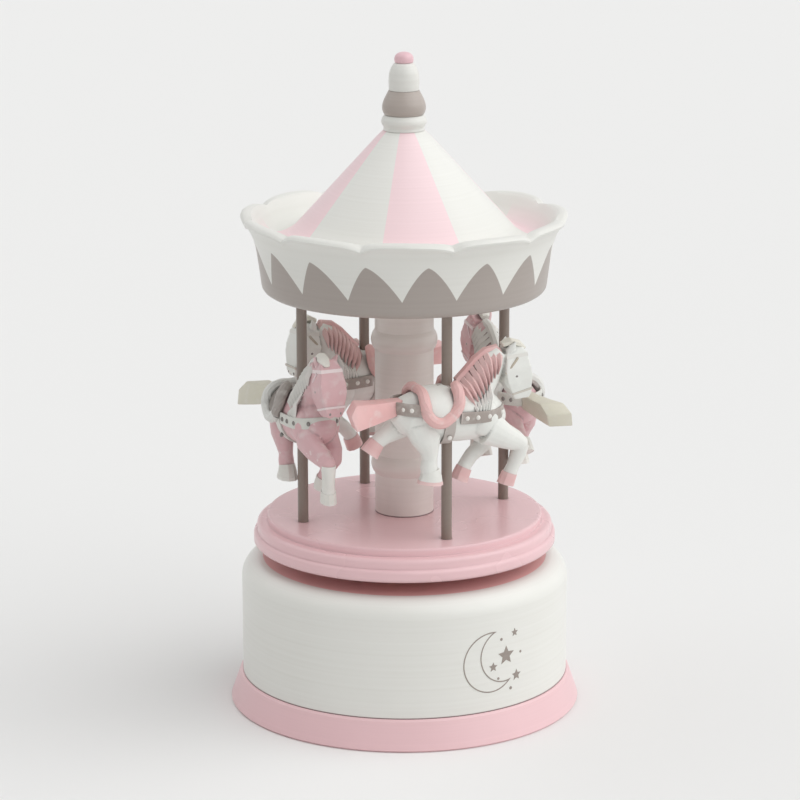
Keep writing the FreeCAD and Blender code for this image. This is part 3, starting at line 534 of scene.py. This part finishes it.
trunk = loft([(-16.6, 0, 2.8, 1.6, 1.6), (-15.6, 0, 2.4, 3.8, 3.9), (-12.8, 0, 1.0, 6.1, 5.9),
              (-8, 0, 0.2, 7.7, 6.8), (-2, 0, -0.2, 8.2, 6.9), (4, 0, -0.4, 8.4, 6.9),
              (9.0, 0, -0.9, 8.0, 6.5), (12.6, 0, -2.0, 6.6, 5.7), (15.0, 0, -3.0, 4.9, 4.6),
              (16.6, 0, -3.8, 3.2, 3.3), (17.4, 0, -4.2, 1.4, 1.6)], 24, "coat")
neck = loft([(7.6, 0, 2.5, 7.6, 5.3), (9.2, 0, 6.8, 5.5, 4.7), (12.0, 0, 11.0, 5.0, 3.9),
             (14.6, 0, 14.4, 4.0, 3.3), (16.6, 0, 16.4, 2.6, 2.7)], 20, "coat")
head = loft([(20.0, 0, 18.4, 2.2, 2.5), (20.7, 0, 15.8, 3.2, 3.3), (21.0, 0, 11.6, 4.0, 3.3),
             (21.6, 0, 8.0, 3.9, 3.0), (22.4, 0, 5.2, 3.2, 2.6), (22.8, 0, 3.6, 2.8, 2.3),
             (22.9, 0, 2.4, 2.2, 1.9)], 4, "coat", square=True)
near_foreleg = loft([(11.5, -3.6, -5.0, 5.2, 3.2), (16.6, -3.3, -8.0, 3.8, 2.9), (20.2, -2.5, -9.8, 3.2, 2.6),
                     (22.4, -1.9, -11.4, 2.7, 2.4), (22.5, -1.7, -13.0, 2.3, 2.1)], 16, "coat")
off_foreleg = loft([(10.0, 3.0, -4.2, 4.5, 3.2), (13.2, 3.8, -9.2, 3.4, 2.7), (12.8, 4.1, -12.2, 2.6, 2.4),
                    (9.4, 3.9, -14.8, 2.2, 2.1), (7.2, 3.5, -17.4, 2.1, 2.0), (6.6, 3.3, -18.6, 2.2, 2.1)],
                   16, "coat")
near_hind_leg = loft([(-9.0, -2.9, -1.6, 5.8, 3.6), (-7.8, -3.4, -6.4, 4.6, 3.3),
                      (-6.9, -3.3, -10.0, 2.9, 2.6), (-6.7, -3.1, -12.6, 2.3, 2.1),
                      (-6.9, -3.0, -14.8, 2.6, 2.3), (-6.6, -3.0, -16.4, 2.5, 2.3)], 16, "coat")
off_hind_leg = loft([(-10.0, 3.2, -1.4, 5.2, 3.6), (-14.6, 3.4, -4.2, 3.6, 2.9), (-18.0, 3.2, -6.0, 2.6, 2.3),
                     (-20.2, 2.9, -7.4, 2.3, 2.1), (-21.0, 2.8, -8.0, 2.3, 2.1)], 16, "coat")
coat_forms = [trunk, neck, head, near_foreleg, off_foreleg, near_hind_leg, off_hind_leg]
for side in (-1, 1):
    cheek = lump(20.2, 2.5 * side, 8.4, 3.3, 1.5, 3.3, "coat")
    shoulder = lump(9.8, 4.4 * side, -1.6, 4.6, 2.7, 5.4, "coat")
    muzzle = lump(24.3, 1.2 * side, 3.4, 1.3, 1.1, 1.2, "coat")
    ear = loft([(18.8, 2.1 * side, 16.6, 1.4, 1.0), (19.3, 2.8 * side, 18.2, 1.2, 0.9),
                (20.1, 3.6 * side, 19.8, 0.3, 0.3)], 6, "coat")
    coat_forms += [cheek, shoulder, muzzle, ear]
coat = join(coat_forms, "coat")
apply_modifier(coat, "REMESH", mode="VOXEL", voxel_size=voxel)
apply_modifier(coat, "SMOOTH", factor=0.5, iterations=2)

stocking = loft([(22.6, -1.8, -11.6, 2.5, 2.3), (22.2, -1.6, -14.2, 2.2, 2.0), (20.6, -1.1, -17.8, 1.9, 1.9),
                 (19.6, -0.8, -20.2, 2.1, 2.1)], 12, "stocking")
hoof_forms = [
    loft([(19.6, -0.8, -19.9, 2.35, 2.3), (18.9, -0.6, -21.8, 2.5, 2.4), (18.4, -0.4, -23.4, 2.65, 2.5)],
         10, "hoof"),
    loft([(6.9, 3.3, -18.0, 2.4, 2.3), (6.0, 3.2, -19.8, 2.6, 2.4), (5.2, 3.1, -21.6, 2.7, 2.5)], 10, "hoof"),
    loft([(-6.4, -3.0, -15.8, 2.7, 2.4), (-6.2, -3.0, -17.6, 3.2, 2.7), (-6.4, -3.0, -19.2, 3.7, 2.9)],
         10, "hind_hoof"),
    loft([(-6.38, -3.0, -19.0, 3.75, 2.95), (-6.5, -3.0, -20.0, 4.0, 3.1)], 10, "hoof"),
    loft([(-20.6, 2.8, -7.6, 2.5, 2.2), (-22.0, 2.7, -9.2, 2.8, 2.4), (-23.2, 2.6, -10.8, 3.0, 2.5)],
         10, "hoof"),
]

# Each lock of the mane runs from the crest to the fringe. Its rings give the share of that way, the share of
# the neck's half width, half height and half width.
crest = ((3.0, 9.2), (5.7, 11.8), (8.8, 15.0), (11.9, 17.2), (15.6, 17.8))
fringe = ((6.6, 2.2), (8.9, 3.8), (10.8, 5.8), (12.3, 8.6), (14.4, 10.6))
lock_rings = ((0.0, 0.1, 1.1, 0.9), (0.24, 0.66, 1.3, 1.2), (0.6, 0.98, 0.8, 1.3), (1.0, 1.04, 0.12, 0.3))
lock_count = 9
strand_count = 6
neck_half_width = 5.5
neck_taper = 1.9


def point_along(line, share):
    """A point at a share of the way along a line of evenly spaced points."""
    step = min(int(share * (len(line) - 1)), len(line) - 2)
    part = share * (len(line) - 1) - step
    return [a + (b - a) * part for a, b in zip(line[step], line[step + 1])]


mane_forms = [loft([(x, 0, z - 0.2, 1.3, 1.5) for x, z in crest], 8, "mane")]
for side in (-1, 1):
    for lock in range(lock_count):
        share = lock / (lock_count - 1)
        root_x, root_z = point_along(crest, share)
        tip_x, tip_z = point_along(fringe, share)
        spread = side * (neck_half_width - neck_taper * share)
        rings = []
        for drop, out, half, ridge in lock_rings:
            rings.append((root_x + (tip_x - root_x) * drop, spread * out,
                          root_z + (tip_z - root_z) * drop, half, ridge))
        mane_forms.append(loft(rings, 4, "mane"))
        if lock < strand_count:
            tip_y = rings[-1][1]
            strand = loft([(tip_x, tip_y * 0.94, tip_z + 1.2, 0.3, 0.5),
                           (tip_x - 0.4 * share, side * 6.6, tip_z * 0.6 + 0.8, 0.75, 0.7),
                           (tip_x - 1.2 * share, side * (7.0 - 0.7 * share), 0.9, 0.3, 0.4)], 4, "strand")
            mane_forms.append(strand)

tail_root = -14.2
tail_length = 16.0
tail_level = 2.8
tail_twist = 0.38
tail_cuts = (((-29.8, 0, 5.0), (-1, 0.2, 0.75)), ((-30.6, 0, 1.5), (-1, 0.15, -0.35)))
tail = loft([(tail_root, 0, 3.4, 2.0, 1.7), (-18.5, -0.7, 3.0, 2.4, 1.9), (-24.0, -2.0, 2.7, 2.9, 2.1),
             (-30.0, -3.4, 2.7, 3.5, 2.0), (-35.0, -4.6, 2.8, 4.0, 2.0)], 4, "tail", square=True)
for vertex in tail.data.vertices:
    share = min(max((tail_root - vertex.co.x / MM) / tail_length, 0), 1)
    vertex.co.y += tail_twist * share * (vertex.co.z - tail_level * MM)
bpy.ops.object.mode_set(mode="EDIT")
for spot, way in tail_cuts:
    bpy.ops.mesh.select_all(action="SELECT")
    bpy.ops.mesh.bisect(plane_co=[part * MM for part in spot], plane_no=way, clear_outer=True, use_fill=True)
bpy.ops.object.mode_set(mode="OBJECT")
apply_modifier(tail, "BEVEL", width=0.4 * MM, segments=2)

seat_edge = -0.8 * MM
seat = loft([(-10.0, 0, 1.4, 6.6, 6.6), (-8.0, 0, 1.1, 7.2, 7.6), (-4.6, 0, 0.8, 7.6, 8.2),
             (-1.0, 0, 0.8, 7.7, 8.0), (1.2, 0, 1.2, 7.3, 6.9)], 28, "seat")
bpy.ops.object.mode_set(mode="EDIT")
bpy.ops.mesh.select_all(action="SELECT")
bpy.ops.mesh.bisect(plane_co=(0, 0, seat_edge), plane_no=(0, 0, 1), clear_inner=True, use_fill=True)
bpy.ops.object.mode_set(mode="OBJECT")

roll_radius = 1.75
roll_line = ((-9.6, 0.3, 7.9, 0.8), (-9.4, -3.2, 7.8, 0.85), (-9.5, -5.6, 6.6, 0.95), (-9.5, -7.1, 4.2, 1),
             (-8.8, -7.5, 1.4, 1), (-5.4, -7.8, -0.9, 1), (-1.1, -7.6, 0.9, 1))
pommel_line = ((-1.4, -7.6, 0.7, 1), (0.6, -7.4, 3.6, 1), (1.0, -6.6, 6.4, 1), (0.8, -5.2, 8.4, 0.95),
               (0.6, -3.8, 9.4, 0.7))
rolls = [band(line, 0, roll_radius, what) for half, what in ((roll_line, "roll"), (pommel_line, "pommel"))
         for line in (half, mirrored(half))]

breast_line = ((1.4, -7.3, -0.3, 1), (5.5, -7.25, -0.5, 1), (9.2, -7.0, -0.6, 1), (12.6, -6.0, -0.6, 1),
               (15.2, -4.2, -0.4, 1), (16.8, -1.6, -0.2, 1))
breast_strap = band((*breast_line, *reversed(mirrored(breast_line))), 1.4, 0.35, "strap")
rump_line = ((-10.6, -7.0, 3.0, 1), (-13.4, -6.0, 3.2, 1), (-15.4, -4.2, 3.3, 1), (-16.7, -1.8, 3.3, 1))
rump_strap = band((*rump_line, *reversed(mirrored(rump_line))), 1.5, 0.35, "strap")
girth = loft([(-3.3, 0, -0.3, 8.75, 7.4), (-0.1, 0, -0.3, 8.8, 7.4)], 28, "strap")
noseband = loft([(22.55, 0, 5.1, 3.28, 2.73), (22.68, 0, 4.5, 3.15, 2.62)], 4, "bridle", square=True)
browband = loft([(20.65, 0, 16.0, 3.25, 3.4), (20.75, 0, 15.0, 3.4, 3.45)], 4, "browband", square=True)
cheek_line = ((20.9, -3.45, 15.0, 1), (19.0, -3.65, 12.8, 1), (17.0, -3.55, 10.4, 1))
cheek_straps = [band(cheek_line, 0.15, 0.22, "bridle"), band(mirrored(cheek_line), 0.15, 0.22, "bridle")]

stud_spots = ((3.2, 7.65, -0.4), (6.6, 7.55, -0.5), (10.4, 7.0, -0.6), (15.4, 4.5, -0.4), (-13.4, 6.3, 3.2),
              (-15.2, 4.6, 3.3), (-1.7, 6.2, -6.0))
stud_forms = [lump(x, y * side, z, 0.7, 0.5, 0.7, "stud") for side in (-1, 1) for x, y, z in stud_spots]
eyes = [lump(20.3, 3.5 * side, 9.6, 0.9, 0.5, 0.8, "eye") for side in (-1, 1)]
nostrils = [lump(25.2, 1.6 * side, 3.6, 0.45, 0.4, 0.5, "eye") for side in (-1, 1)]
tuft = loft([(17.0, -0.5, 18.6, 0.9, 1.4), (19.2, -1.1, 19.4, 1.3, 2.0), (21.6, -1.3, 18.8, 1.1, 1.9),
             (23.8, -1.3, 17.3, 0.4, 0.9)], 7, "tuft")

casting = join([coat, stocking, *hoof_forms, *mane_forms, tail, seat, *rolls, breast_strap, rump_strap, girth,
                noseband, browband, *cheek_straps, *stud_forms, *eyes, *nostrils, tuft], "casting")
bpy.ops.object.shade_smooth_by_angle(angle=math.radians(35))

for number, (level, heading, tilt) in enumerate(zip(horse_levels, horse_turns, horse_tilts)):
    name = "horse_%d" % (number + 1)
    low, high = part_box("pole_%d" % (number + 1))
    pole = (low + high) / 2
    bpy.ops.object.select_all(action="DESELECT")
    casting.select_set(True)
    bpy.context.view_layer.objects.active = casting
    bpy.ops.object.duplicate()
    horse = bpy.context.object
    horse.name = name + "_casting"
    horse.data.name = name + "_casting"
    horse.rotation_euler = Euler((0, math.radians(tilt), math.atan2(pole.y, pole.x) + math.radians(heading)))
    horse.location = (pole.x, pole.y, level * MM)
    bpy.ops.object.transform_apply(location=True, rotation=True, scale=True)
    if number % 2:
        for slot in horse.material_slots:
            slot.material = repaint[slot.material.name]
    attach(horse, "carousel")
    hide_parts(name)
bpy.data.objects.remove(casting)

# Canopy: one piece of beech, turned with a deep trough behind its flared lip, the lip carved into soft
# scallops. The roof is painted in eight stripes by hand, and the wall below the lip with a taupe zigzag.
# Its sizes are in mm, and its turns in degrees.
canopy_steps = 352
canopy_profile = (
    (0, 125.8), (30, 125.8), (39.7, 125.8), (40.6, 125.98), (41.4, 126.5), (41.93, 127.3), (42.1, 128.2),
    (42.45, 131.0), (42.95, 134.5), (43.4, 137.6), (43.8, 139.8), (44.4, 141.8), (45.2, 143.7), (46.1, 145.3),
    (46.6, 146.3), (47.15, 146.75), (47.75, 147.25), (47.95, 147.9), (47.6, 148.5), (46.9, 148.9),
    (46.0, 148.95), (45.1, 148.7), (44.3, 147.9), (43.5, 146.6), (42.5, 144.9), (41.3, 143.1), (40.2, 142.0),
    (38.7, 141.6), (37.2, 141.8), (35.6, 142.5), (34.0, 143.4), (32.7, 144.3), (30.0, 147.2), (24.0, 153.8),
    (18.0, 160.4), (12.0, 167.0), (8.2, 171.15), (6.3, 173.0), (5.9, 173.2), (0, 173.2))
roof_edge = 45.0
roof_foot = 141.3
lip_radius = 45.8
scallop_count = 11
scallop_start = -15.0
scallop_foot = 141.5
scallop_height = 6.0
scallop_inner_radius = 39.0
steep_reach = 2.6
gentle_reach = 5.2
dip = 2.0
inner_dip = 0.6 * dip
pinch = 1.0
inner_pinch = 0.5 * pinch
swell_out = 0.5
roof_white = "#EBEBE6"
wall_white = "#E6E6E1"
roof_pink = "#F8DDE1"
zigzag_taupe = "#ABA29C"
wall_foot = 125.84
tooth_count = 17
tooth_offset = 0.038
tooth_peak = 0.42
tooth_lean = 0.24
tooth_bow = 1.35
tooth_root = 131.0
tooth_tip = 141.2
mask_blur = 0.12
stripe_reach = (38.4, 43.4)
stripe_edges = (-149, -102, -58, -12.5, 29.5, 91, 130, 170)


def turned(name, profile, steps):
    """A turned piece: its profile, given as radius and height in mm, spun once round the axis."""
    bpy.ops.object.select_all(action="DESELECT")
    bpy.ops.mesh.primitive_plane_add(size=MM)
    piece = bpy.context.object
    piece.name = name
    piece.data.name = name
    bpy.ops.object.mode_set(mode="EDIT")
    bpy.ops.mesh.merge(type="CENTER")
    bpy.ops.transform.translate(value=(profile[0][0] * MM, 0, profile[0][1] * MM))
    for (from_r, from_z), (to_r, to_z) in zip(profile, profile[1:]):
        step = ((to_r - from_r) * MM, 0, (to_z - from_z) * MM)
        bpy.ops.mesh.extrude_region_move(TRANSFORM_OT_translate={"value": step})
    bpy.ops.mesh.select_all(action="SELECT")
    bpy.ops.mesh.spin(steps=steps, angle=2 * math.pi, center=(0, 0, 0), axis=(0, 0, 1))
    bpy.ops.mesh.select_all(action="SELECT")
    bpy.ops.mesh.remove_doubles(threshold=0.0001 * MM)
    bpy.ops.mesh.normals_make_consistent(inside=False)
    bpy.ops.object.mode_set(mode="OBJECT")
    return piece


canopy = turned("canopy_roof", canopy_profile, canopy_steps)
for face in canopy.data.polygons:
    inside = math.hypot(face.center.x, face.center.y) < roof_edge * MM
    face.material_index = 1 if inside and face.center.z > roof_foot * MM and face.normal.z > 0 else 0
pitch = 360 / scallop_count
for vertex in canopy.data.vertices:
    radius = math.hypot(vertex.co.x, vertex.co.y)
    rise = min(max((vertex.co.z / MM - scallop_foot) / scallop_height, 0), 1)
    if rise == 0 or radius < scallop_inner_radius * MM:
        continue
    turn = math.degrees(math.atan2(vertex.co.x, -vertex.co.y))
    off = (turn - scallop_start + pitch / 2) % pitch - pitch / 2
    reach = steep_reach if off > 0 else gentle_reach
    fold = math.exp(-abs(off) / reach)
    swell = math.cos(math.pi * off / pitch) ** 2
    outside = radius / MM > lip_radius
    push = swell_out * (1 - swell) - pinch * fold if outside else -inner_pinch * fold
    share = 1 + push * rise * rise * MM / radius
    vertex.co.x *= share
    vertex.co.y *= share
    vertex.co.z -= (dip if outside else inner_dip) * fold * rise * rise * MM


def azimuth(tree, split):
    """The turn round the axis from the front, to the right, in radians."""
    back = add_node(tree, "ShaderNodeMath", {0: split.outputs["Y"], 1: -1.0}, operation="MULTIPLY")
    turn = add_node(tree, "ShaderNodeMath", {0: split.outputs["X"], 1: back.outputs[0]}, operation="ARCTAN2")
    return turn.outputs[0]


def zigzag(tree, split):
    """Taupe teeth from the wall's foot, brushed on over white through a mask that was cut by eye."""
    turn = azimuth(tree, split)
    tooth = add_node(tree, "ShaderNodeMath", {0: turn, 1: tooth_count / (2 * math.pi), 2: tooth_offset},
                     operation="MULTIPLY_ADD")
    along = add_node(tree, "ShaderNodeMath", {0: tooth.outputs[0]}, operation="FRACT")
    across = add_node(tree, "ShaderNodeMath", {0: turn}, operation="SINE")
    peak = add_node(tree, "ShaderNodeMath", {0: across.outputs[0], 1: tooth_lean, 2: tooth_peak},
                    operation="MULTIPLY_ADD")
    rising = add_node(tree, "ShaderNodeMath", {0: along.outputs[0], 1: peak.outputs[0]}, operation="DIVIDE")
    behind = add_node(tree, "ShaderNodeMath", {0: 1.0, 1: along.outputs[0]}, operation="SUBTRACT")
    rest = add_node(tree, "ShaderNodeMath", {0: 1.0, 1: peak.outputs[0]}, operation="SUBTRACT")
    falling = add_node(tree, "ShaderNodeMath", {0: behind.outputs[0], 1: rest.outputs[0]}, operation="DIVIDE")
    flank = add_node(tree, "ShaderNodeMath", {0: rising.outputs[0], 1: falling.outputs[0]},
                     operation="MINIMUM")
    short = add_node(tree, "ShaderNodeMath", {0: 1.0, 1: flank.outputs[0]}, operation="SUBTRACT")
    bowed = add_node(tree, "ShaderNodeMath", {0: short.outputs[0], 1: tooth_bow}, operation="POWER")
    edge = add_node(tree, "ShaderNodeMapRange", {"Value": bowed.outputs[0], "To Min": tooth_tip * MM,
                                                 "To Max": tooth_root * MM})
    above = add_node(tree, "ShaderNodeMath", {0: split.outputs["Z"], 1: edge.outputs[0]},
                     operation="SUBTRACT")
    taupe = add_node(tree, "ShaderNodeMapRange", {"Value": above.outputs[0], "From Min": mask_blur * MM,
                                                  "From Max": -mask_blur * MM})
    wall = add_node(tree, "ShaderNodeMath", {0: split.outputs["Z"], 1: wall_foot * MM},
                    operation="GREATER_THAN")
    both = add_node(tree, "ShaderNodeMath", {0: taupe.outputs[0], 1: wall.outputs[0]}, operation="MULTIPLY")
    return add_node(tree, "ShaderNodeMixRGB", {"Fac": both.outputs[0], "Color1": linear(wall_white),
                                               "Color2": linear(zigzag_taupe)}).outputs[0]


def stripes(tree, split):
    """Eight roof stripes, uneven as painted by hand; they fade out from the trough up to the white lip."""
    turn = azimuth(tree, split)
    share = add_node(tree, "ShaderNodeMapRange", {"Value": turn, "From Min": -math.pi, "From Max": math.pi})
    ramp = add_node(tree, "ShaderNodeValToRGB", {"Fac": share.outputs[0]})
    ramp.color_ramp.interpolation = "CONSTANT"
    stops = ramp.color_ramp.elements
    stops[0].color = linear(roof_pink)
    stops[1].position = (stripe_edges[0] + 180) / 360
    stops[1].color = linear(roof_white)
    for number, edge in enumerate(stripe_edges[1:]):
        stop = stops.new((edge + 180) / 360)
        stop.color = linear(roof_white if number % 2 else roof_pink)
    flat = add_node(tree, "ShaderNodeCombineXYZ", {0: split.outputs["X"], 1: split.outputs["Y"]})
    radius = add_node(tree, "ShaderNodeVectorMath", {0: flat.outputs[0]}, operation="LENGTH")
    outside = add_node(tree, "ShaderNodeMapRange", {"Value": radius.outputs["Value"],
                                                    "From Min": stripe_reach[0] * MM,
                                                    "From Max": stripe_reach[1] * MM})
    return add_node(tree, "ShaderNodeMixRGB", {"Fac": outside.outputs[0], "Color1": ramp.outputs["Color"],
                                               "Color2": linear(roof_white)}).outputs[0]


canopy.data.materials.append(lacquered_wood("zigzag_lacquer_on_beech", wall_white, pattern=zigzag))
canopy.data.materials.append(lacquered_wood("striped_lacquer_on_beech", roof_white, pattern=stripes))
bpy.ops.object.shade_smooth_by_angle(angle=math.radians(40))
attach(canopy, "carousel")
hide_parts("canopy")

# Finial: four turned beads threaded on a beech dowel and glued, white, taupe, white and pink from the foot
# up. Only the beads show; the dowel runs inside them from the roof to the tip.
bead_steps = 48
bead_bore = 1.6
white_bead = lacquered_wood("white_bead_lacquer", "#E4E4DF")
taupe_bead = lacquered_wood("taupe_bead_lacquer", "#B3A9A2")
pink_bead = lacquered_wood("pink_bead_lacquer", "#E8C1C8")
foot_profile = (
    (bead_bore, 173.2), (5.95, 173.2), (6.05, 173.3), (6.05, 173.6), (5.95, 174.1), (6.3, 174.7),
    (6.75, 175.6), (6.6, 176.6), (6.05, 177.4), (5.75, 177.75), (5.65, 177.8), (bead_bore, 177.8),
    (bead_bore, 173.2))
ring_profile = (
    (bead_bore, 177.8), (5.65, 177.8), (5.75, 177.85), (6.15, 178.5), (6.45, 179.5), (6.4, 180.6),
    (6.0, 182.0), (5.25, 183.5), (4.7, 184.5), (4.55, 184.85), (4.45, 184.9), (bead_bore, 184.9),
    (bead_bore, 177.8))
bulb_profile = (
    (bead_bore, 184.9), (4.3, 184.9), (4.38, 184.95), (4.4, 185.5), (4.55, 187.0), (4.5, 188.8), (4.2, 190.6),
    (3.5, 192.1), (2.8, 192.85), (2.4, 192.95), (bead_bore, 192.95), (bead_bore, 184.9))
tip_profile = (
    (0, 194.2), (bead_bore, 194.2), (bead_bore, 192.95), (2.5, 192.95), (2.65, 193.0), (2.8, 193.4),
    (2.85, 194.2), (2.6, 195.05), (1.8, 195.75), (0.8, 196.05), (0, 196.1))
beads = (("finial_foot", foot_profile, white_bead, "white_paint"),
         ("finial_ring", ring_profile, taupe_bead, "taupe_paint"),
         ("finial_bulb", bulb_profile, white_bead, "white_paint"),
         ("finial_tip", tip_profile, pink_bead, "pink_paint"))
for name, profile, lacquer, slot in beads:
    bead = turned(name + "_bead", profile, bead_steps)
    apply_modifier(bead, "SUBSURF", levels=2, render_levels=2)
    bpy.ops.object.shade_smooth_by_angle(angle=math.radians(40))
    bead.data.materials.append(lacquer)
    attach(bead, "carousel")
    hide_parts(name)
dress(lacquered_wood("sanded_beech", "#D8B98A", roughness=0.6), "finial_dowel")

# Stage: a matt, pale paper sweep in soft daylight from a large window high on the right, a smaller one low
# beside it, and a wall on the left that throws light back. The camera stands where the photograph's did, a
# little above the roof, with a long lens.
floor_size = 12
paper_white = "#EDEDEC"
sky_white = "#FFFFFF"
sky_light = 0.38
sky_seen = 0.85
# Each lamp has its strength, then the spread, height and turn of its light in degrees.
lamps = (("window_light", 1.55, 75, 46, 66), ("side_window", 0.54, 70, 28, 108),
         ("wall_bounce", 0.66, 70, 55, -105))
camera_place = (-0.00095, -0.9225, 0.3276)
camera_pitch = math.radians(90 - 14.33)
camera_roll = math.radians(0.08)
bpy.ops.object.select_all(action="DESELECT")
bpy.ops.mesh.primitive_plane_add(size=floor_size)
floor = bpy.context.object
floor.name = "paper_sweep"
paper = bpy.data.materials.new("pale_paper")
paper.use_nodes = True
matt_paper = paper.node_tree.nodes["Principled BSDF"]
matt_paper.inputs["Base Color"].default_value = linear(paper_white)
matt_paper.inputs["Roughness"].default_value = 0.9
floor.data.materials.append(paper)

world = bpy.data.worlds.new("soft_daylight")
bpy.context.scene.world = world
world.use_nodes = True
sky = world.node_tree.nodes["Background"]
sky.inputs["Color"].default_value = linear(sky_white)
ray = add_node(world.node_tree, "ShaderNodeLightPath")
seen = add_node(world.node_tree, "ShaderNodeMath", {0: ray.outputs["Is Camera Ray"],
                                                    1: ray.outputs["Is Glossy Ray"]}, operation="MAXIMUM")
level = add_node(world.node_tree, "ShaderNodeMapRange", {"Value": seen.outputs[0], "To Min": sky_light,
                                                         "To Max": sky_seen})
world.node_tree.links.new(level.outputs[0], sky.inputs["Strength"])

for name, energy, spread, height, turn in lamps:
    bpy.ops.object.light_add(type="SUN", rotation=Euler((math.radians(90 - height), 0, math.radians(turn))))
    lamp = bpy.context.object
    lamp.name = name
    lamp.data.energy = energy
    lamp.data.angle = math.radians(spread)

bpy.ops.object.camera_add(location=camera_place, rotation=(camera_pitch, camera_roll, 0))
camera = bpy.context.object
camera.data.lens = 143.9
camera.data.sensor_width = 36
camera.data.clip_end = 50
bpy.context.scene.camera = camera
bpy.context.scene.view_settings.view_transform = "Standard"
